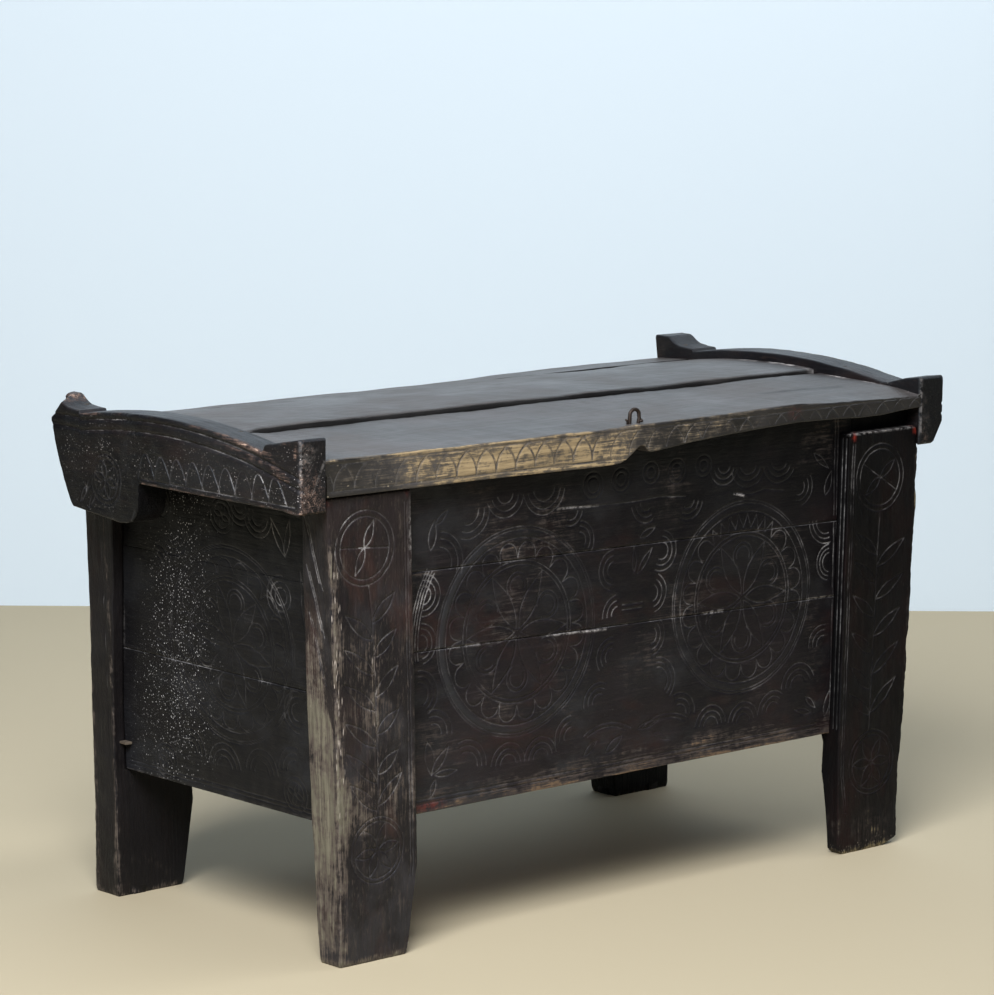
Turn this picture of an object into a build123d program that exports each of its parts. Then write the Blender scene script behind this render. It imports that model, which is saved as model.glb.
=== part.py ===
"""Hewn dowry chest on four plank stiles, with a lid that swings on wooden pins.

Millimetres.  X runs along the chest, Y from its front (-) to its back (+), Z up
from the floor.  The origin is on the floor, under the middle of the chest.
Left and right are as seen by someone who stands in front of it.
"""
from build123d import *
from math import cos, radians, sin, tan
import os

os.makedirs("parts", exist_ok=True)

# ---------------------------------------------------------------- the chest
DEPTH = 544.0             # front end of the lid cleats to the back of the rear stiles
LEG_CLEARANCE = 178.0     # floor to the lowest boards
BOARD_THICKNESS = 20.0
BOARD_FIT = 0.2           # slack round a board in its groove, each side
TONGUE_THICKNESS = 6.0
TONGUE_HEIGHT = 7.0
TONGUE_FIT = 0.4          # slack round a tongue in the next board's groove

# ---------------------------------------------------------------- the stiles
FOOT_HALF_SPAN = 530.0    # middle of the chest to the outer edge of a foot
STILE_FLARE = 23.0        # how far the outer edge has leant out at the shoulder
HEAD_WIDTH = 140.0        # stile width at the shoulder
ANKLE_WIDTH = 131.0       # stile width at the top of the foot's taper
FOOT_WIDTH = 113.0
ANKLE_HEIGHT = 120.0

FRONT_STEP = 8.0          # front of the cleats to the face of the front stiles
FRONT_STILE_FOOT = 43.0   # thickness of a front stile, front to back, at the floor
FRONT_STILE_WAIST = 60.0  # the same, halfway up
FRONT_STILE_HEAD = 48.0   # the same, at the top
SHOULDER_DROP = 31.0      # lid's underside to the shoulder where a front stile is cut back
FRONT_RECESS = 21.0       # face of the front stiles to the face of the front boards

REAR_STILE_FOOT = 54.0    # thickness of a rear stile at the floor
REAR_STILE_WAIST = 50.0   # the same, beside the lowest boards
REAR_STILE_NECK = 61.0    # the same, just under the lid pin's head
NECK_DROP = 44.0          # lid pin down to the narrowest part of the neck
REAR_LEAN = 8.0           # how far the back face has come forward by the neck
BACK_RECESS = 18.0        # back of the rear stiles to the face of the back boards

# ---------------------------------------------------------------- front and back boards
TENON_REACH = 37.0        # how far a front or back board runs into the ankle's width
LOWER_BOARD_HEIGHT = 218.0   # front lower board, at its left end
LOWER_SEAM_FALL = 18.0    # how much lower the seam above it is at its right end
MIDDLE_BOARD_HEIGHT = 106.0
UPPER_SEAM_FALL = 14.0
BACK_LOWER_HEIGHT = 202.0
BACK_MIDDLE_HEIGHT = 125.0
PEG_DIAMETER = 10.0
PEG_END_WALL = 14.0       # wood left between a peg's tip and the outside of the stile
PEG_INSET = 10.0          # peg's axis in from the end of the board that it locks

# ---------------------------------------------------------------- end boards
END_SETBACK = 19.0        # outer edge of a foot to the face of an end board, at its foot
END_SPLAY = 2.5           # degrees that the ends lean out
END_WALL = 35.0           # wood between an end board's end and the outside of the stile
END_LOWER_BOARD = 173.0
END_MIDDLE_BOARD = 144.0
END_TOP_GAP = 4.0         # end boards' top edge to the underside of the lid

# ---------------------------------------------------------------- floor
FLOOR_RISE = 27.0         # underside of the lowest boards to the underside of the floor
FLOOR_THICKNESS = 18.0
FLOOR_HOUSING = 8.0       # how far the floor boards run into the walls
FLOOR_END_STRIP = 28.0    # the part of an end floor board that lies between the stiles
FLOOR_MIDDLE_COUNT = 5
FLOOR_GAP = 1.0
FLOOR_NOTCH_FIT = 1.0

# ---------------------------------------------------------------- lid pins
PIN_DIAMETER = 16.0
PIN_FIT = 0.06            # running clearance of a pin in the cleat, on the radius
PIN_HEIGHT = 584.0        # sets the height of the stiles, the walls and the lid
PIN_HEAD_RADIUS = 58.0    # pin's axis to the rounded top and back of the rear stile
PIN_FRONT_WALL = 8.0      # wood in front of the pin
PIN_LENGTH = 122.0
PIN_END_SINK = 1.0        # pin's outer end below the face of the cleat
HEEL_CLEARANCE = 4.0      # rounded head to the underside of the lid
HEAD_STEP = 26.0          # height of the slope where the neck widens to the head

# ---------------------------------------------------------------- lid boards
CLEAT_GAP = 4.0           # outer edge of the stiles to the inner face of a cleat
CLEAT_THICKNESS = 46.0
LID_TENON = 20.0          # how far the lid boards run into a cleat
LID_FIT = 0.2             # slack round the lid boards in the cleats
LID_SEAM_GAP = 1.5
RIM_SETBACK = 1.5         # front of the cleats to the face of the lid's rim
FRONT_BOARD_DEPTH = 207.5
REAR_BOARD_DEPTH = 65.0
RIM_HEIGHT = 20.0         # thickness of the front lid board at its front edge
FRONT_BOARD_RISE = 12.0   # how much higher its back edge is
FRONT_BOARD_BACK = 22.0   # its thickness there
MIDDLE_STEP = 4.0         # the middle board's front edge above the front board
MIDDLE_THICKNESS = 22.0
MIDDLE_BULGE = 6.0        # crown of the middle board above a flat plank
MIDDLE_BACK_EDGE = 24.0   # top of its back edge above the lid's underside
REAR_BOARD_DROP = 7.0     # fall of the rear board's top to its back edge

# ---------------------------------------------------------------- the lid's lip
LIP_GAP = 4.0             # lip to the face of the front boards
LIP_DEPTH = 28.0          # how far the left part of the lip hangs below the board
LIP_THIN_DEPTH = 18.0     # the same, to the right of the notch
LIP_END_DEPTH = 3.0       # the same, where the lip has thinned out
NOTCH_X = -14.0           # middle of the hasp notch
NOTCH_RIGHT = 20.0        # its half width to the right
NOTCH_LEFT = 34.0         # its half width to the left
NOTCH_HEIGHT = 8.0        # wood left above the notch, below the board
LIP_THIN_START = 30.0
LIP_THIN_END = 230.0

# ---------------------------------------------------------------- cleats
CLEAT_DROP = 44.0         # lid's underside down to the cleat's
CLEAT_FRONT_RISE = 48.0   # lid's underside up to the top of the cleat's front end
BLOCK_LENGTH = 58.0       # the raised block at the cleat's front end
BLOCK_FALL = 12.0
DIP_LENGTH = 20.0         # block to the bottom of the dip behind it
DIP_RISE = 28.0           # the next four rises are from the lid's underside too
ARCH_RISE = 49.5
ARCH_PEAK_Y = 25.0        # the arch is highest a little behind the middle
REAR_DIP_RISE = 34.0
REAR_DIP_LENGTH = 72.0    # bottom of the rear dip to the cleat's back end
HORN_RISE = 56.0
HORN_LENGTH = 20.0        # flat top of the horn
HORN_HOLLOW = 6.0         # how far the horn's front hollows below a straight line
LOBE_DEPTH = 57.0         # lobe's lowest point below the cleat's underside
LOBE_REACH = 140.0        # lobe's front to the lid pin
LOBE_TOE = 44.0           # lobe's front to its lowest point
LOBE_HEEL = 7.0           # lid pin to the lobe's back corner
LOBE_HEEL_RISE = 10.0
TAIL_BULGE = 10.0         # how far the cleat's back edge swells outwards
LID_PEG_DIAMETER = 9.0
LID_PEG_INSET = 41.0      # peg to the outer edge of the front or the rear lid board
LID_PEG_SPACING = 125.0   # the two pegs of the front or the middle lid board
LID_PEG_DEPTH = 18.0      # lid pegs run this far below the lid boards

# ---------------------------------------------------------------- ironwork
STAPLE_WIRE = 5.0
STAPLE_SPREAD = 23.0      # between the centres of the legs
STAPLE_NECK = 9.5         # straight part of each leg above the lid
STAPLE_BITE = 22.0        # depth of the legs in the wood
STAPLE_INSET = 13.0       # staple's plane behind the face of the rim
STAPLE_FIT = 0.05

SHIM_SIZE = (10.0, 15.0, 3.0)   # the sliver of wood wedged in beside the left end
SHIM_RISE = 38.0          # underside of the lowest boards to the sliver

# ---------------------------------------------------------------- places that follow
FRONT_Y = -DEPTH / 2
BACK_Y = DEPTH / 2
STILE_FACE_Y = FRONT_Y + FRONT_STEP
BOARD_FACE_Y = STILE_FACE_Y + FRONT_RECESS
BOARD_INNER_Y = BOARD_FACE_Y + BOARD_THICKNESS
BACK_FACE_Y = BACK_Y - BACK_RECESS
BACK_INNER_Y = BACK_FACE_Y - BOARD_THICKNESS
LOWER_SEAM = LEG_CLEARANCE + LOWER_BOARD_HEIGHT
UPPER_SEAM = LOWER_SEAM + MIDDLE_BOARD_HEIGHT
BACK_LOWER_SEAM = LEG_CLEARANCE + BACK_LOWER_HEIGHT
BACK_UPPER_SEAM = BACK_LOWER_SEAM + BACK_MIDDLE_HEIGHT
END_BOARD_X = FOOT_HALF_SPAN - END_SETBACK
FLOOR_HEIGHT = LEG_CLEARANCE + FLOOR_RISE
NECK_HEIGHT = PIN_HEIGHT - NECK_DROP
HEAD_HALF_SPAN = FOOT_HALF_SPAN + STILE_FLARE
BOARD_END_X = FOOT_HALF_SPAN - ANKLE_WIDTH + TENON_REACH
NECK_BACK_Y = BACK_Y - REAR_LEAN
PIN_Y = NECK_BACK_Y - PIN_HEAD_RADIUS
HEAD_TOP = PIN_HEIGHT + PIN_HEAD_RADIUS
LID_UNDERSIDE = HEAD_TOP + HEEL_CLEARANCE
SHOULDER_HEIGHT = LID_UNDERSIDE - SHOULDER_DROP
CLEAT_UNDERSIDE = LID_UNDERSIDE - CLEAT_DROP
HORN_TOP = LID_UNDERSIDE + HORN_RISE
CLEAT_INNER_X = HEAD_HALF_SPAN + CLEAT_GAP
CLEAT_OUTER_X = CLEAT_INNER_X + CLEAT_THICKNESS
LID_END_X = CLEAT_INNER_X + LID_TENON
RIM_Y = FRONT_Y + RIM_SETBACK
FRONT_LID_BACK_Y = RIM_Y + FRONT_BOARD_DEPTH
REAR_LID_FRONT_Y = BACK_Y - REAR_BOARD_DEPTH
LIP_INNER_Y = BOARD_FACE_Y - LIP_GAP
RIM_TOP = LID_UNDERSIDE + RIM_HEIGHT
LID_PEG_PLACES = (
    RIM_Y + LID_PEG_INSET,
    RIM_Y + LID_PEG_INSET + LID_PEG_SPACING,
    FRONT_LID_BACK_Y + LID_PEG_INSET,
    FRONT_LID_BACK_Y + LID_PEG_INSET + LID_PEG_SPACING,
    BACK_Y - LID_PEG_INSET)
FLOOR_TOP = FLOOR_HEIGHT + FLOOR_THICKNESS
STAPLE_Y = RIM_Y + STAPLE_INSET
BOARD_REACH = HEAD_HALF_SPAN + 1      # cuts that cross the whole carcass end here


# ---------------------------------------------------------------- helpers
def block(x, y, z):
    """Box between pairs of low and high corners."""
    size = Box(x[1] - x[0], y[1] - y[0], z[1] - z[0])
    return Pos((x[0] + x[1]) / 2, (y[0] + y[1]) / 2, (z[0] + z[1]) / 2) * size


def along_x(outline, x_from, x_to):
    """Solid with an outline given in Y and Z, from x_from to x_to."""
    return extrude(Plane.YZ.offset(x_from) * make_face(outline), amount=x_to - x_from)


def along_y(outline, y_from, y_to):
    """Solid with an outline given in X and Z, from y_from back to y_to."""
    return extrude(Plane.XZ.offset(-y_from) * make_face(outline), amount=y_from - y_to)


def cylinder_x(radius, x_from, x_to, y, z):
    rod = Rot(0, 90, 0) * Cylinder(radius, x_to - x_from)
    return Pos((x_from + x_to) / 2, y, z) * rod


def cylinder_y(radius, y_from, y_to, x, z):
    rod = Rot(90, 0, 0) * Cylinder(radius, y_to - y_from)
    return Pos(x, (y_from + y_to) / 2, z) * rod


def left_of(right_hand_piece):
    return mirror(right_hand_piece, Plane.YZ)


def save(piece, node):
    piece.label = node
    export_step(piece, os.path.join("parts", node + ".step"))


# ---------------------------------------------------------------- boards
def plank(start, end, low, high, tongue=True, groove=True):
    """A board standing on edge, its face at y = 0 and its thickness behind it.

    low and high give the heights of its two edges at its start and its end.
    The tongue is under the lower edge, and the groove is in the upper one.
    """
    edges = Polyline((start, low[0]), (end, low[1]), (end, high[1]), (start, high[0]), close=True)
    body = along_y(edges, 0, BOARD_THICKNESS)
    middle = BOARD_THICKNESS / 2
    if tongue:
        root = Polyline(
            (start, low[0]), (end, low[1]),
            (end, low[1] - TONGUE_HEIGHT), (start, low[0] - TONGUE_HEIGHT), close=True)
        body += along_y(root, middle - TONGUE_THICKNESS / 2, middle + TONGUE_THICKNESS / 2)
    if groove:
        depth = TONGUE_HEIGHT + TONGUE_FIT
        slot = Polyline(
            (start - 1, high[0] + 1), (end + 1, high[1] + 1),
            (end + 1, high[1] - depth), (start - 1, high[0] - depth), close=True)
        half = TONGUE_THICKNESS / 2 + TONGUE_FIT
        body -= along_y(slot, middle - half, middle + half)
    return body


def front_boards():
    """Three riven boards, each a little narrower at one end than at the other."""
    lower = (LOWER_SEAM, LOWER_SEAM - LOWER_SEAM_FALL)
    upper = (UPPER_SEAM, UPPER_SEAM - UPPER_SEAM_FALL)
    bottom = (LEG_CLEARANCE, LEG_CLEARANCE)
    top = (LID_UNDERSIDE, LID_UNDERSIDE)
    place = Pos(0, BOARD_FACE_Y, 0)
    ends = (-BOARD_END_X, BOARD_END_X)
    return [
        place * plank(*ends, bottom, lower, tongue=False) - floor_groove(),
        place * plank(*ends, lower, upper),
        place * plank(*ends, upper, top, groove=False),
    ]


def head_corner():
    """What lies outside the rounded head of the rear stiles, in the lid heel's way."""
    corner = block((-BOARD_REACH, BOARD_REACH), (PIN_Y, BACK_Y), (PIN_HEIGHT, LID_UNDERSIDE))
    return corner - cylinder_x(PIN_HEAD_RADIUS, -BOARD_REACH, BOARD_REACH, PIN_Y, PIN_HEIGHT)


def back_boards():
    """The plain back, whose top edge is rounded like the heads of the stiles."""
    heights = (LEG_CLEARANCE, BACK_LOWER_SEAM, BACK_UPPER_SEAM, HEAD_TOP)
    place = Pos(0, BACK_FACE_Y, 0) * Rot(0, 0, 180)
    ends = (-BOARD_END_X, BOARD_END_X)
    boards = []
    for step in range(3):
        low = (heights[step],) * 2
        high = (heights[step + 1],) * 2
        board = place * plank(*ends, low, high, tongue=step > 0, groove=step < 2)
        boards.append(board)
    boards[0] -= floor_groove()
    boards[2] -= head_corner()
    return boards


def end_place():
    """Frame of the right end wall, which leans out with the stiles."""
    return Pos(END_BOARD_X, 0, LEG_CLEARANCE) * Rot(0, END_SPLAY, 0) * Rot(0, 0, 90)


END_START_Y = STILE_FACE_Y + END_WALL
END_FINISH_Y = BACK_Y - END_WALL
END_HEIGHT = (LID_UNDERSIDE - END_TOP_GAP - LEG_CLEARANCE) / cos(radians(END_SPLAY))


def end_boards():
    """Three boards that close the right end, from the bottom up."""
    heights = (0.0, END_LOWER_BOARD, END_LOWER_BOARD + END_MIDDLE_BOARD, END_HEIGHT)
    boards = []
    for step in range(3):
        low = (heights[step],) * 2
        high = (heights[step + 1],) * 2
        board = plank(END_START_Y, END_FINISH_Y, low, high, tongue=step > 0, groove=step < 2)
        boards.append(end_place() * board)
    boards[0] -= floor_groove()
    boards[2] -= head_corner() + lid_pin_hole(0.0)
    return boards


def end_wall_groove():
    """What the right end wall needs cut out of its stiles."""
    slab = block(
        (END_START_Y - BOARD_FIT, END_FINISH_Y + BOARD_FIT),
        (-BOARD_FIT, BOARD_THICKNESS + BOARD_FIT),
        (0, END_HEIGHT + LEG_CLEARANCE))
    return end_place() * slab


def end_inner_x(height):
    """Inner face of the right end wall at a height above the floor of the room."""
    lean = (height - LEG_CLEARANCE) * tan(radians(END_SPLAY))
    return END_BOARD_X + lean - BOARD_THICKNESS / cos(radians(END_SPLAY))


# ---------------------------------------------------------------- stiles
def stile_front_view():
    """Outline of a right-hand stile in X and Z: leaning outer edge, tapered foot."""
    halfway = (FOOT_HALF_SPAN + STILE_FLARE / 4, SHOULDER_HEIGHT / 2)
    outer = ThreePointArc((FOOT_HALF_SPAN, 0), halfway, (HEAD_HALF_SPAN, SHOULDER_HEIGHT))
    rest = Polyline(
        (HEAD_HALF_SPAN, SHOULDER_HEIGHT),
        (HEAD_HALF_SPAN, LID_UNDERSIDE),
        (HEAD_HALF_SPAN - HEAD_WIDTH, LID_UNDERSIDE),
        (FOOT_HALF_SPAN - ANKLE_WIDTH, ANKLE_HEIGHT),
        (FOOT_HALF_SPAN - FOOT_WIDTH, 0),
        (FOOT_HALF_SPAN, 0))
    return outer + rest


def front_stile_side_view():
    """Outline in Y and Z: flat face, shoulder for the lid's lip, bowed inner face."""
    inner = ThreePointArc(
        (STILE_FACE_Y + FRONT_STILE_HEAD, LID_UNDERSIDE),
        (STILE_FACE_Y + FRONT_STILE_WAIST, LID_UNDERSIDE / 2),
        (STILE_FACE_Y + FRONT_STILE_FOOT, 0))
    rest = Polyline(
        (STILE_FACE_Y + FRONT_STILE_FOOT, 0),
        (STILE_FACE_Y, 0),
        (STILE_FACE_Y, SHOULDER_HEIGHT),
        (BOARD_FACE_Y, SHOULDER_HEIGHT),
        (BOARD_FACE_Y, LID_UNDERSIDE),
        (STILE_FACE_Y + FRONT_STILE_HEAD, LID_UNDERSIDE))
    return inner + rest


def rear_stile_side_view():
    """Outline in Y and Z: its head is rounded about the pin that the lid swings on."""
    turn = PIN_HEAD_RADIUS * sin(radians(45))
    head = ThreePointArc(
        (NECK_BACK_Y, PIN_HEIGHT), (PIN_Y + turn, PIN_HEIGHT + turn), (PIN_Y, HEAD_TOP))
    head_front = PIN_Y - PIN_DIAMETER / 2 - PIN_FRONT_WALL
    rest = Polyline(
        (PIN_Y, HEAD_TOP),
        (head_front, HEAD_TOP),
        (head_front, NECK_HEIGHT + HEAD_STEP),
        (NECK_BACK_Y - REAR_STILE_NECK, NECK_HEIGHT),
        (BACK_Y - REAR_STILE_WAIST, NECK_HEIGHT / 2),
        (BACK_Y - REAR_STILE_WAIST, LEG_CLEARANCE),
        (BACK_Y - REAR_STILE_FOOT, ANKLE_HEIGHT),
        (BACK_Y - REAR_STILE_FOOT, 0),
        (BACK_Y, 0),
        (BACK_Y, NECK_HEIGHT / 2),
        (NECK_BACK_Y, NECK_HEIGHT),
        (NECK_BACK_Y, PIN_HEIGHT))
    return head + rest


def board_groove(face_y):
    """Groove for the front or the back boards in a right-hand stile."""
    return block(
        (0, BOARD_END_X + BOARD_FIT),
        (face_y - BOARD_FIT, face_y + BOARD_THICKNESS + BOARD_FIT),
        (LEG_CLEARANCE, LID_UNDERSIDE + 1))


def stile(side_view, groove_face_y):
    plan = along_y(stile_front_view(), FRONT_Y - 1, BACK_Y + 1)
    shape = plan & along_x(side_view, 0, BOARD_REACH)
    return shape - board_groove(groove_face_y) - end_wall_groove()


def front_stile():
    return stile(front_stile_side_view(), BOARD_FACE_Y)


def rear_stile():
    return stile(rear_stile_side_view(), BACK_INNER_Y) - lid_pin_hole(0.0)


# ---------------------------------------------------------------- floor boards
def floor_groove():
    """The housing that the floor boards need in the walls round them."""
    y = (BOARD_INNER_Y - FLOOR_HOUSING, BACK_INNER_Y + FLOOR_HOUSING)
    inner = FOOT_HALF_SPAN - ANKLE_WIDTH
    z = (FLOOR_HEIGHT, FLOOR_TOP)
    housing = block((-inner, inner), y, z)
    end_x = end_inner_x(FLOOR_HEIGHT) + FLOOR_HOUSING
    return housing + block((-end_x, end_x), notched_y(), z)


def notched_y():
    """Front and back limits of the floor between the stiles."""
    front = STILE_FACE_Y + FRONT_STILE_WAIST + FLOOR_NOTCH_FIT
    back = BACK_Y - max(REAR_STILE_WAIST, REAR_STILE_FOOT) - FLOOR_NOTCH_FIT
    return (front, back)


def floor_boards():
    """Middle boards from left to right, then the right-hand end board."""
    y = (BOARD_INNER_Y - FLOOR_HOUSING, BACK_INNER_Y + FLOOR_HOUSING)
    z = (FLOOR_HEIGHT, FLOOR_TOP)
    inner = FOOT_HALF_SPAN - ANKLE_WIDTH - FLOOR_NOTCH_FIT
    middle_end = inner - FLOOR_END_STRIP
    width = 2 * middle_end / FLOOR_MIDDLE_COUNT
    boards = []
    for step in range(FLOOR_MIDDLE_COUNT):
        start = -middle_end + step * width
        boards.append(block((start, start + width - FLOOR_GAP), y, z))
    end = block((middle_end, inner), y, z)
    end += block((inner, end_inner_x(FLOOR_HEIGHT) + FLOOR_HOUSING), notched_y(), z)
    return boards, end


# ---------------------------------------------------------------- pegs and pins
def board_pegs(side_view, y_from, y_to, seams):
    """Pegs that lock three boards in their two stiles, driven from the inside."""
    x = BOARD_END_X - PEG_INSET
    stile_body = along_x(side_view, 0, BOARD_REACH)
    pegs = []
    for low, high in zip(seams, seams[1:]):
        rod = cylinder_y(PEG_DIAMETER / 2, y_from, y_to, x, (low + high) / 2)
        peg = rod & stile_body
        pegs += [peg, left_of(peg)]
    return pegs


def lid_pin(extra=0.0):
    outer = CLEAT_OUTER_X - PIN_END_SINK
    radius = PIN_DIAMETER / 2 + extra
    return cylinder_x(radius, outer - PIN_LENGTH, outer, PIN_Y, PIN_HEIGHT)


def lid_pin_hole(extra):
    """Blind hole for the pin, open at the outside."""
    outer = CLEAT_OUTER_X + 1
    inner = CLEAT_OUTER_X - PIN_END_SINK - PIN_LENGTH
    return cylinder_x(PIN_DIAMETER / 2 + extra, inner, outer, PIN_Y, PIN_HEIGHT)


# ---------------------------------------------------------------- lid boards
def front_lid_section(slack=0.0):
    back_top = RIM_TOP + FRONT_BOARD_RISE
    flat_back = STILE_FACE_Y + FRONT_STILE_WAIST
    return Polyline(
        (RIM_Y - slack, LID_UNDERSIDE - slack),
        (RIM_Y - slack, RIM_TOP + slack),
        (FRONT_LID_BACK_Y + slack, back_top + slack),
        (FRONT_LID_BACK_Y + slack, back_top - FRONT_BOARD_BACK - slack),
        (flat_back, LID_UNDERSIDE - slack), close=True)


def middle_lid_section(slack=0.0):
    front = FRONT_LID_BACK_Y + LID_SEAM_GAP
    back = REAR_LID_FRONT_Y - LID_SEAM_GAP
    front_top = RIM_TOP + FRONT_BOARD_RISE + MIDDLE_STEP
    back_top = LID_UNDERSIDE + MIDDLE_BACK_EDGE
    middle_y = (front + back) / 2
    middle_top = (front_top + back_top) / 2 + MIDDLE_BULGE
    top = ThreePointArc(
        (front - slack, front_top + slack), (middle_y, middle_top + slack),
        (back + slack, back_top + slack))
    under = ThreePointArc(
        (back + slack, back_top - MIDDLE_THICKNESS - slack),
        (middle_y, middle_top - MIDDLE_THICKNESS - slack),
        (front - slack, front_top - MIDDLE_THICKNESS - slack))
    back_edge = Line(
        (back + slack, back_top + slack), (back + slack, back_top - MIDDLE_THICKNESS - slack))
    front_edge = Line(
        (front - slack, front_top - MIDDLE_THICKNESS - slack), (front - slack, front_top + slack))
    return top + back_edge + under + front_edge


def rear_lid_section(slack=0.0):
    front_top = LID_UNDERSIDE + MIDDLE_BACK_EDGE
    return Polyline(
        (REAR_LID_FRONT_Y - slack, LID_UNDERSIDE - slack),
        (REAR_LID_FRONT_Y - slack, front_top + slack),
        (BACK_Y + slack, front_top - REAR_BOARD_DROP + slack),
        (BACK_Y + slack, LID_UNDERSIDE - slack), close=True)


def lip():
    """The part of the front lid board that hangs down over the front boards."""
    deep = LID_UNDERSIDE - LIP_DEPTH
    thin = LID_UNDERSIDE - LIP_THIN_DEPTH
    end = LID_UNDERSIDE - LIP_END_DEPTH
    notch = ThreePointArc(
        (NOTCH_X - NOTCH_LEFT, deep),
        (NOTCH_X, LID_UNDERSIDE - NOTCH_HEIGHT),
        (NOTCH_X + NOTCH_RIGHT, thin))
    right = Polyline(
        (NOTCH_X + NOTCH_RIGHT, thin),
        (LIP_THIN_START, thin),
        (LIP_THIN_END, end),
        (CLEAT_INNER_X, end),
        (CLEAT_INNER_X, LID_UNDERSIDE),
        (-CLEAT_INNER_X, LID_UNDERSIDE),
        (-CLEAT_INNER_X, deep),
        (NOTCH_X - NOTCH_LEFT, deep))
    return along_y(notch + right, RIM_Y, LIP_INNER_Y)


def lid_boards():
    front = along_x(front_lid_section(), -LID_END_X, LID_END_X) + lip() - staple_holes()
    middle = along_x(middle_lid_section(), -LID_END_X, LID_END_X)
    rear = along_x(rear_lid_section(), -LID_END_X, LID_END_X)
    boards = [front, middle, rear]
    pegs = lid_peg_rods()
    for rod in pegs + [left_of(rod) for rod in pegs]:
        boards = [board - rod for board in boards]
    return boards


# ---------------------------------------------------------------- cleats
def cleat_outline():
    """Side view of a cleat in Y and Z, from its front end round to its lobe."""
    block_back = FRONT_Y + BLOCK_LENGTH
    front_top = LID_UNDERSIDE + CLEAT_FRONT_RISE
    dip = (block_back + DIP_LENGTH, LID_UNDERSIDE + DIP_RISE)
    rear_dip = (BACK_Y - REAR_DIP_LENGTH, LID_UNDERSIDE + REAR_DIP_RISE)
    horn_front = BACK_Y - HORN_LENGTH
    lobe_front = PIN_Y - LOBE_REACH
    arch = ThreePointArc(dip, (ARCH_PEAK_Y, LID_UNDERSIDE + ARCH_RISE), rear_dip)
    hollow = ThreePointArc(
        rear_dip,
        ((rear_dip[0] + horn_front) / 2, (rear_dip[1] + HORN_TOP) / 2 - HORN_HOLLOW),
        (horn_front, HORN_TOP))
    heel = (PIN_Y + LOBE_HEEL, CLEAT_UNDERSIDE - LOBE_DEPTH + LOBE_HEEL_RISE)
    tail = ThreePointArc(
        (BACK_Y, HORN_TOP),
        ((BACK_Y + heel[0]) / 2 + TAIL_BULGE, (HORN_TOP + heel[1]) / 2),
        heel)
    toe = (lobe_front + LOBE_TOE, CLEAT_UNDERSIDE - LOBE_DEPTH)
    curl = ThreePointArc(
        toe,
        (lobe_front + LOBE_TOE / 7, CLEAT_UNDERSIDE - LOBE_DEPTH * 3 / 4),
        (lobe_front, CLEAT_UNDERSIDE))
    front = Polyline(
        (lobe_front, CLEAT_UNDERSIDE),
        (FRONT_Y, CLEAT_UNDERSIDE),
        (FRONT_Y, front_top),
        (block_back, front_top - BLOCK_FALL),
        dip)
    flat = Line((horn_front, HORN_TOP), (BACK_Y, HORN_TOP))
    return front + arch + hollow + flat + tail + Line(heel, toe) + curl


def cleat():
    """The right-hand cleat: the lid boards' ends are housed in its inner face."""
    body = along_x(cleat_outline(), CLEAT_INNER_X, CLEAT_OUTER_X)
    for section in (front_lid_section, middle_lid_section, rear_lid_section):
        body -= along_x(section(LID_FIT), CLEAT_INNER_X - 1, LID_END_X)
    body -= lid_pin_hole(PIN_FIT)
    for rod in lid_peg_rods():
        body -= rod
    return body


def lid_peg_rods():
    """Upright pegs through the right cleat and the lid boards housed in it."""
    solid = along_x(cleat_outline(), CLEAT_INNER_X, CLEAT_OUTER_X)
    x = (CLEAT_INNER_X + LID_END_X) / 2
    low = LID_UNDERSIDE - LID_PEG_DEPTH
    length = HORN_TOP + 1 - low
    rods = []
    for y in LID_PEG_PLACES:
        rod = Pos(x, y, low + length / 2) * Cylinder(LID_PEG_DIAMETER / 2, length)
        rods.append(rod & solid)
    return rods


# ---------------------------------------------------------------- ironwork
def staple(extra=0.0):
    """Round-topped wire staple, its legs driven into the front lid board."""
    half = STAPLE_SPREAD / 2
    top = staple_top_surface() + STAPLE_NECK
    tip = staple_top_surface() - STAPLE_BITE
    radius = STAPLE_WIRE / 2 + extra
    path = Polyline((NOTCH_X - half, tip), (NOTCH_X - half, top))
    path += ThreePointArc((NOTCH_X - half, top), (NOTCH_X, top + half), (NOTCH_X + half, top))
    path += Polyline((NOTCH_X + half, top), (NOTCH_X + half, tip))
    path = Plane.XZ.offset(-STAPLE_Y) * path
    wire = Plane.XY.offset(tip) * Pos(NOTCH_X - half, STAPLE_Y) * Circle(radius)
    return sweep(wire, path=path)


def staple_top_surface():
    """Height of the front lid board's top where the staple stands."""
    return RIM_TOP + FRONT_BOARD_RISE * STAPLE_INSET / FRONT_BOARD_DEPTH


def staple_holes():
    half = STAPLE_SPREAD / 2
    low = staple_top_surface() - STAPLE_BITE
    high = RIM_TOP + FRONT_BOARD_RISE
    holes = []
    for x in (NOTCH_X - half, NOTCH_X + half):
        drill = Cylinder(STAPLE_WIRE / 2 + STAPLE_FIT, high - low)
        holes.append(Pos(x, STAPLE_Y, (low + high) / 2) * drill)
    return holes


def shim():
    """Sliver of wood beside the rear left stile, on the face of the end wall."""
    size_x, size_y, size_z = SHIM_SIZE
    stile_y = BACK_Y - REAR_STILE_WAIST
    low = LEG_CLEARANCE + SHIM_RISE
    face_x = END_BOARD_X + (SHIM_RISE + size_z) * tan(radians(END_SPLAY))
    piece = block((face_x, face_x + size_x), (stile_y - size_y, stile_y), (low, low + size_z))
    return left_of(piece)


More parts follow.
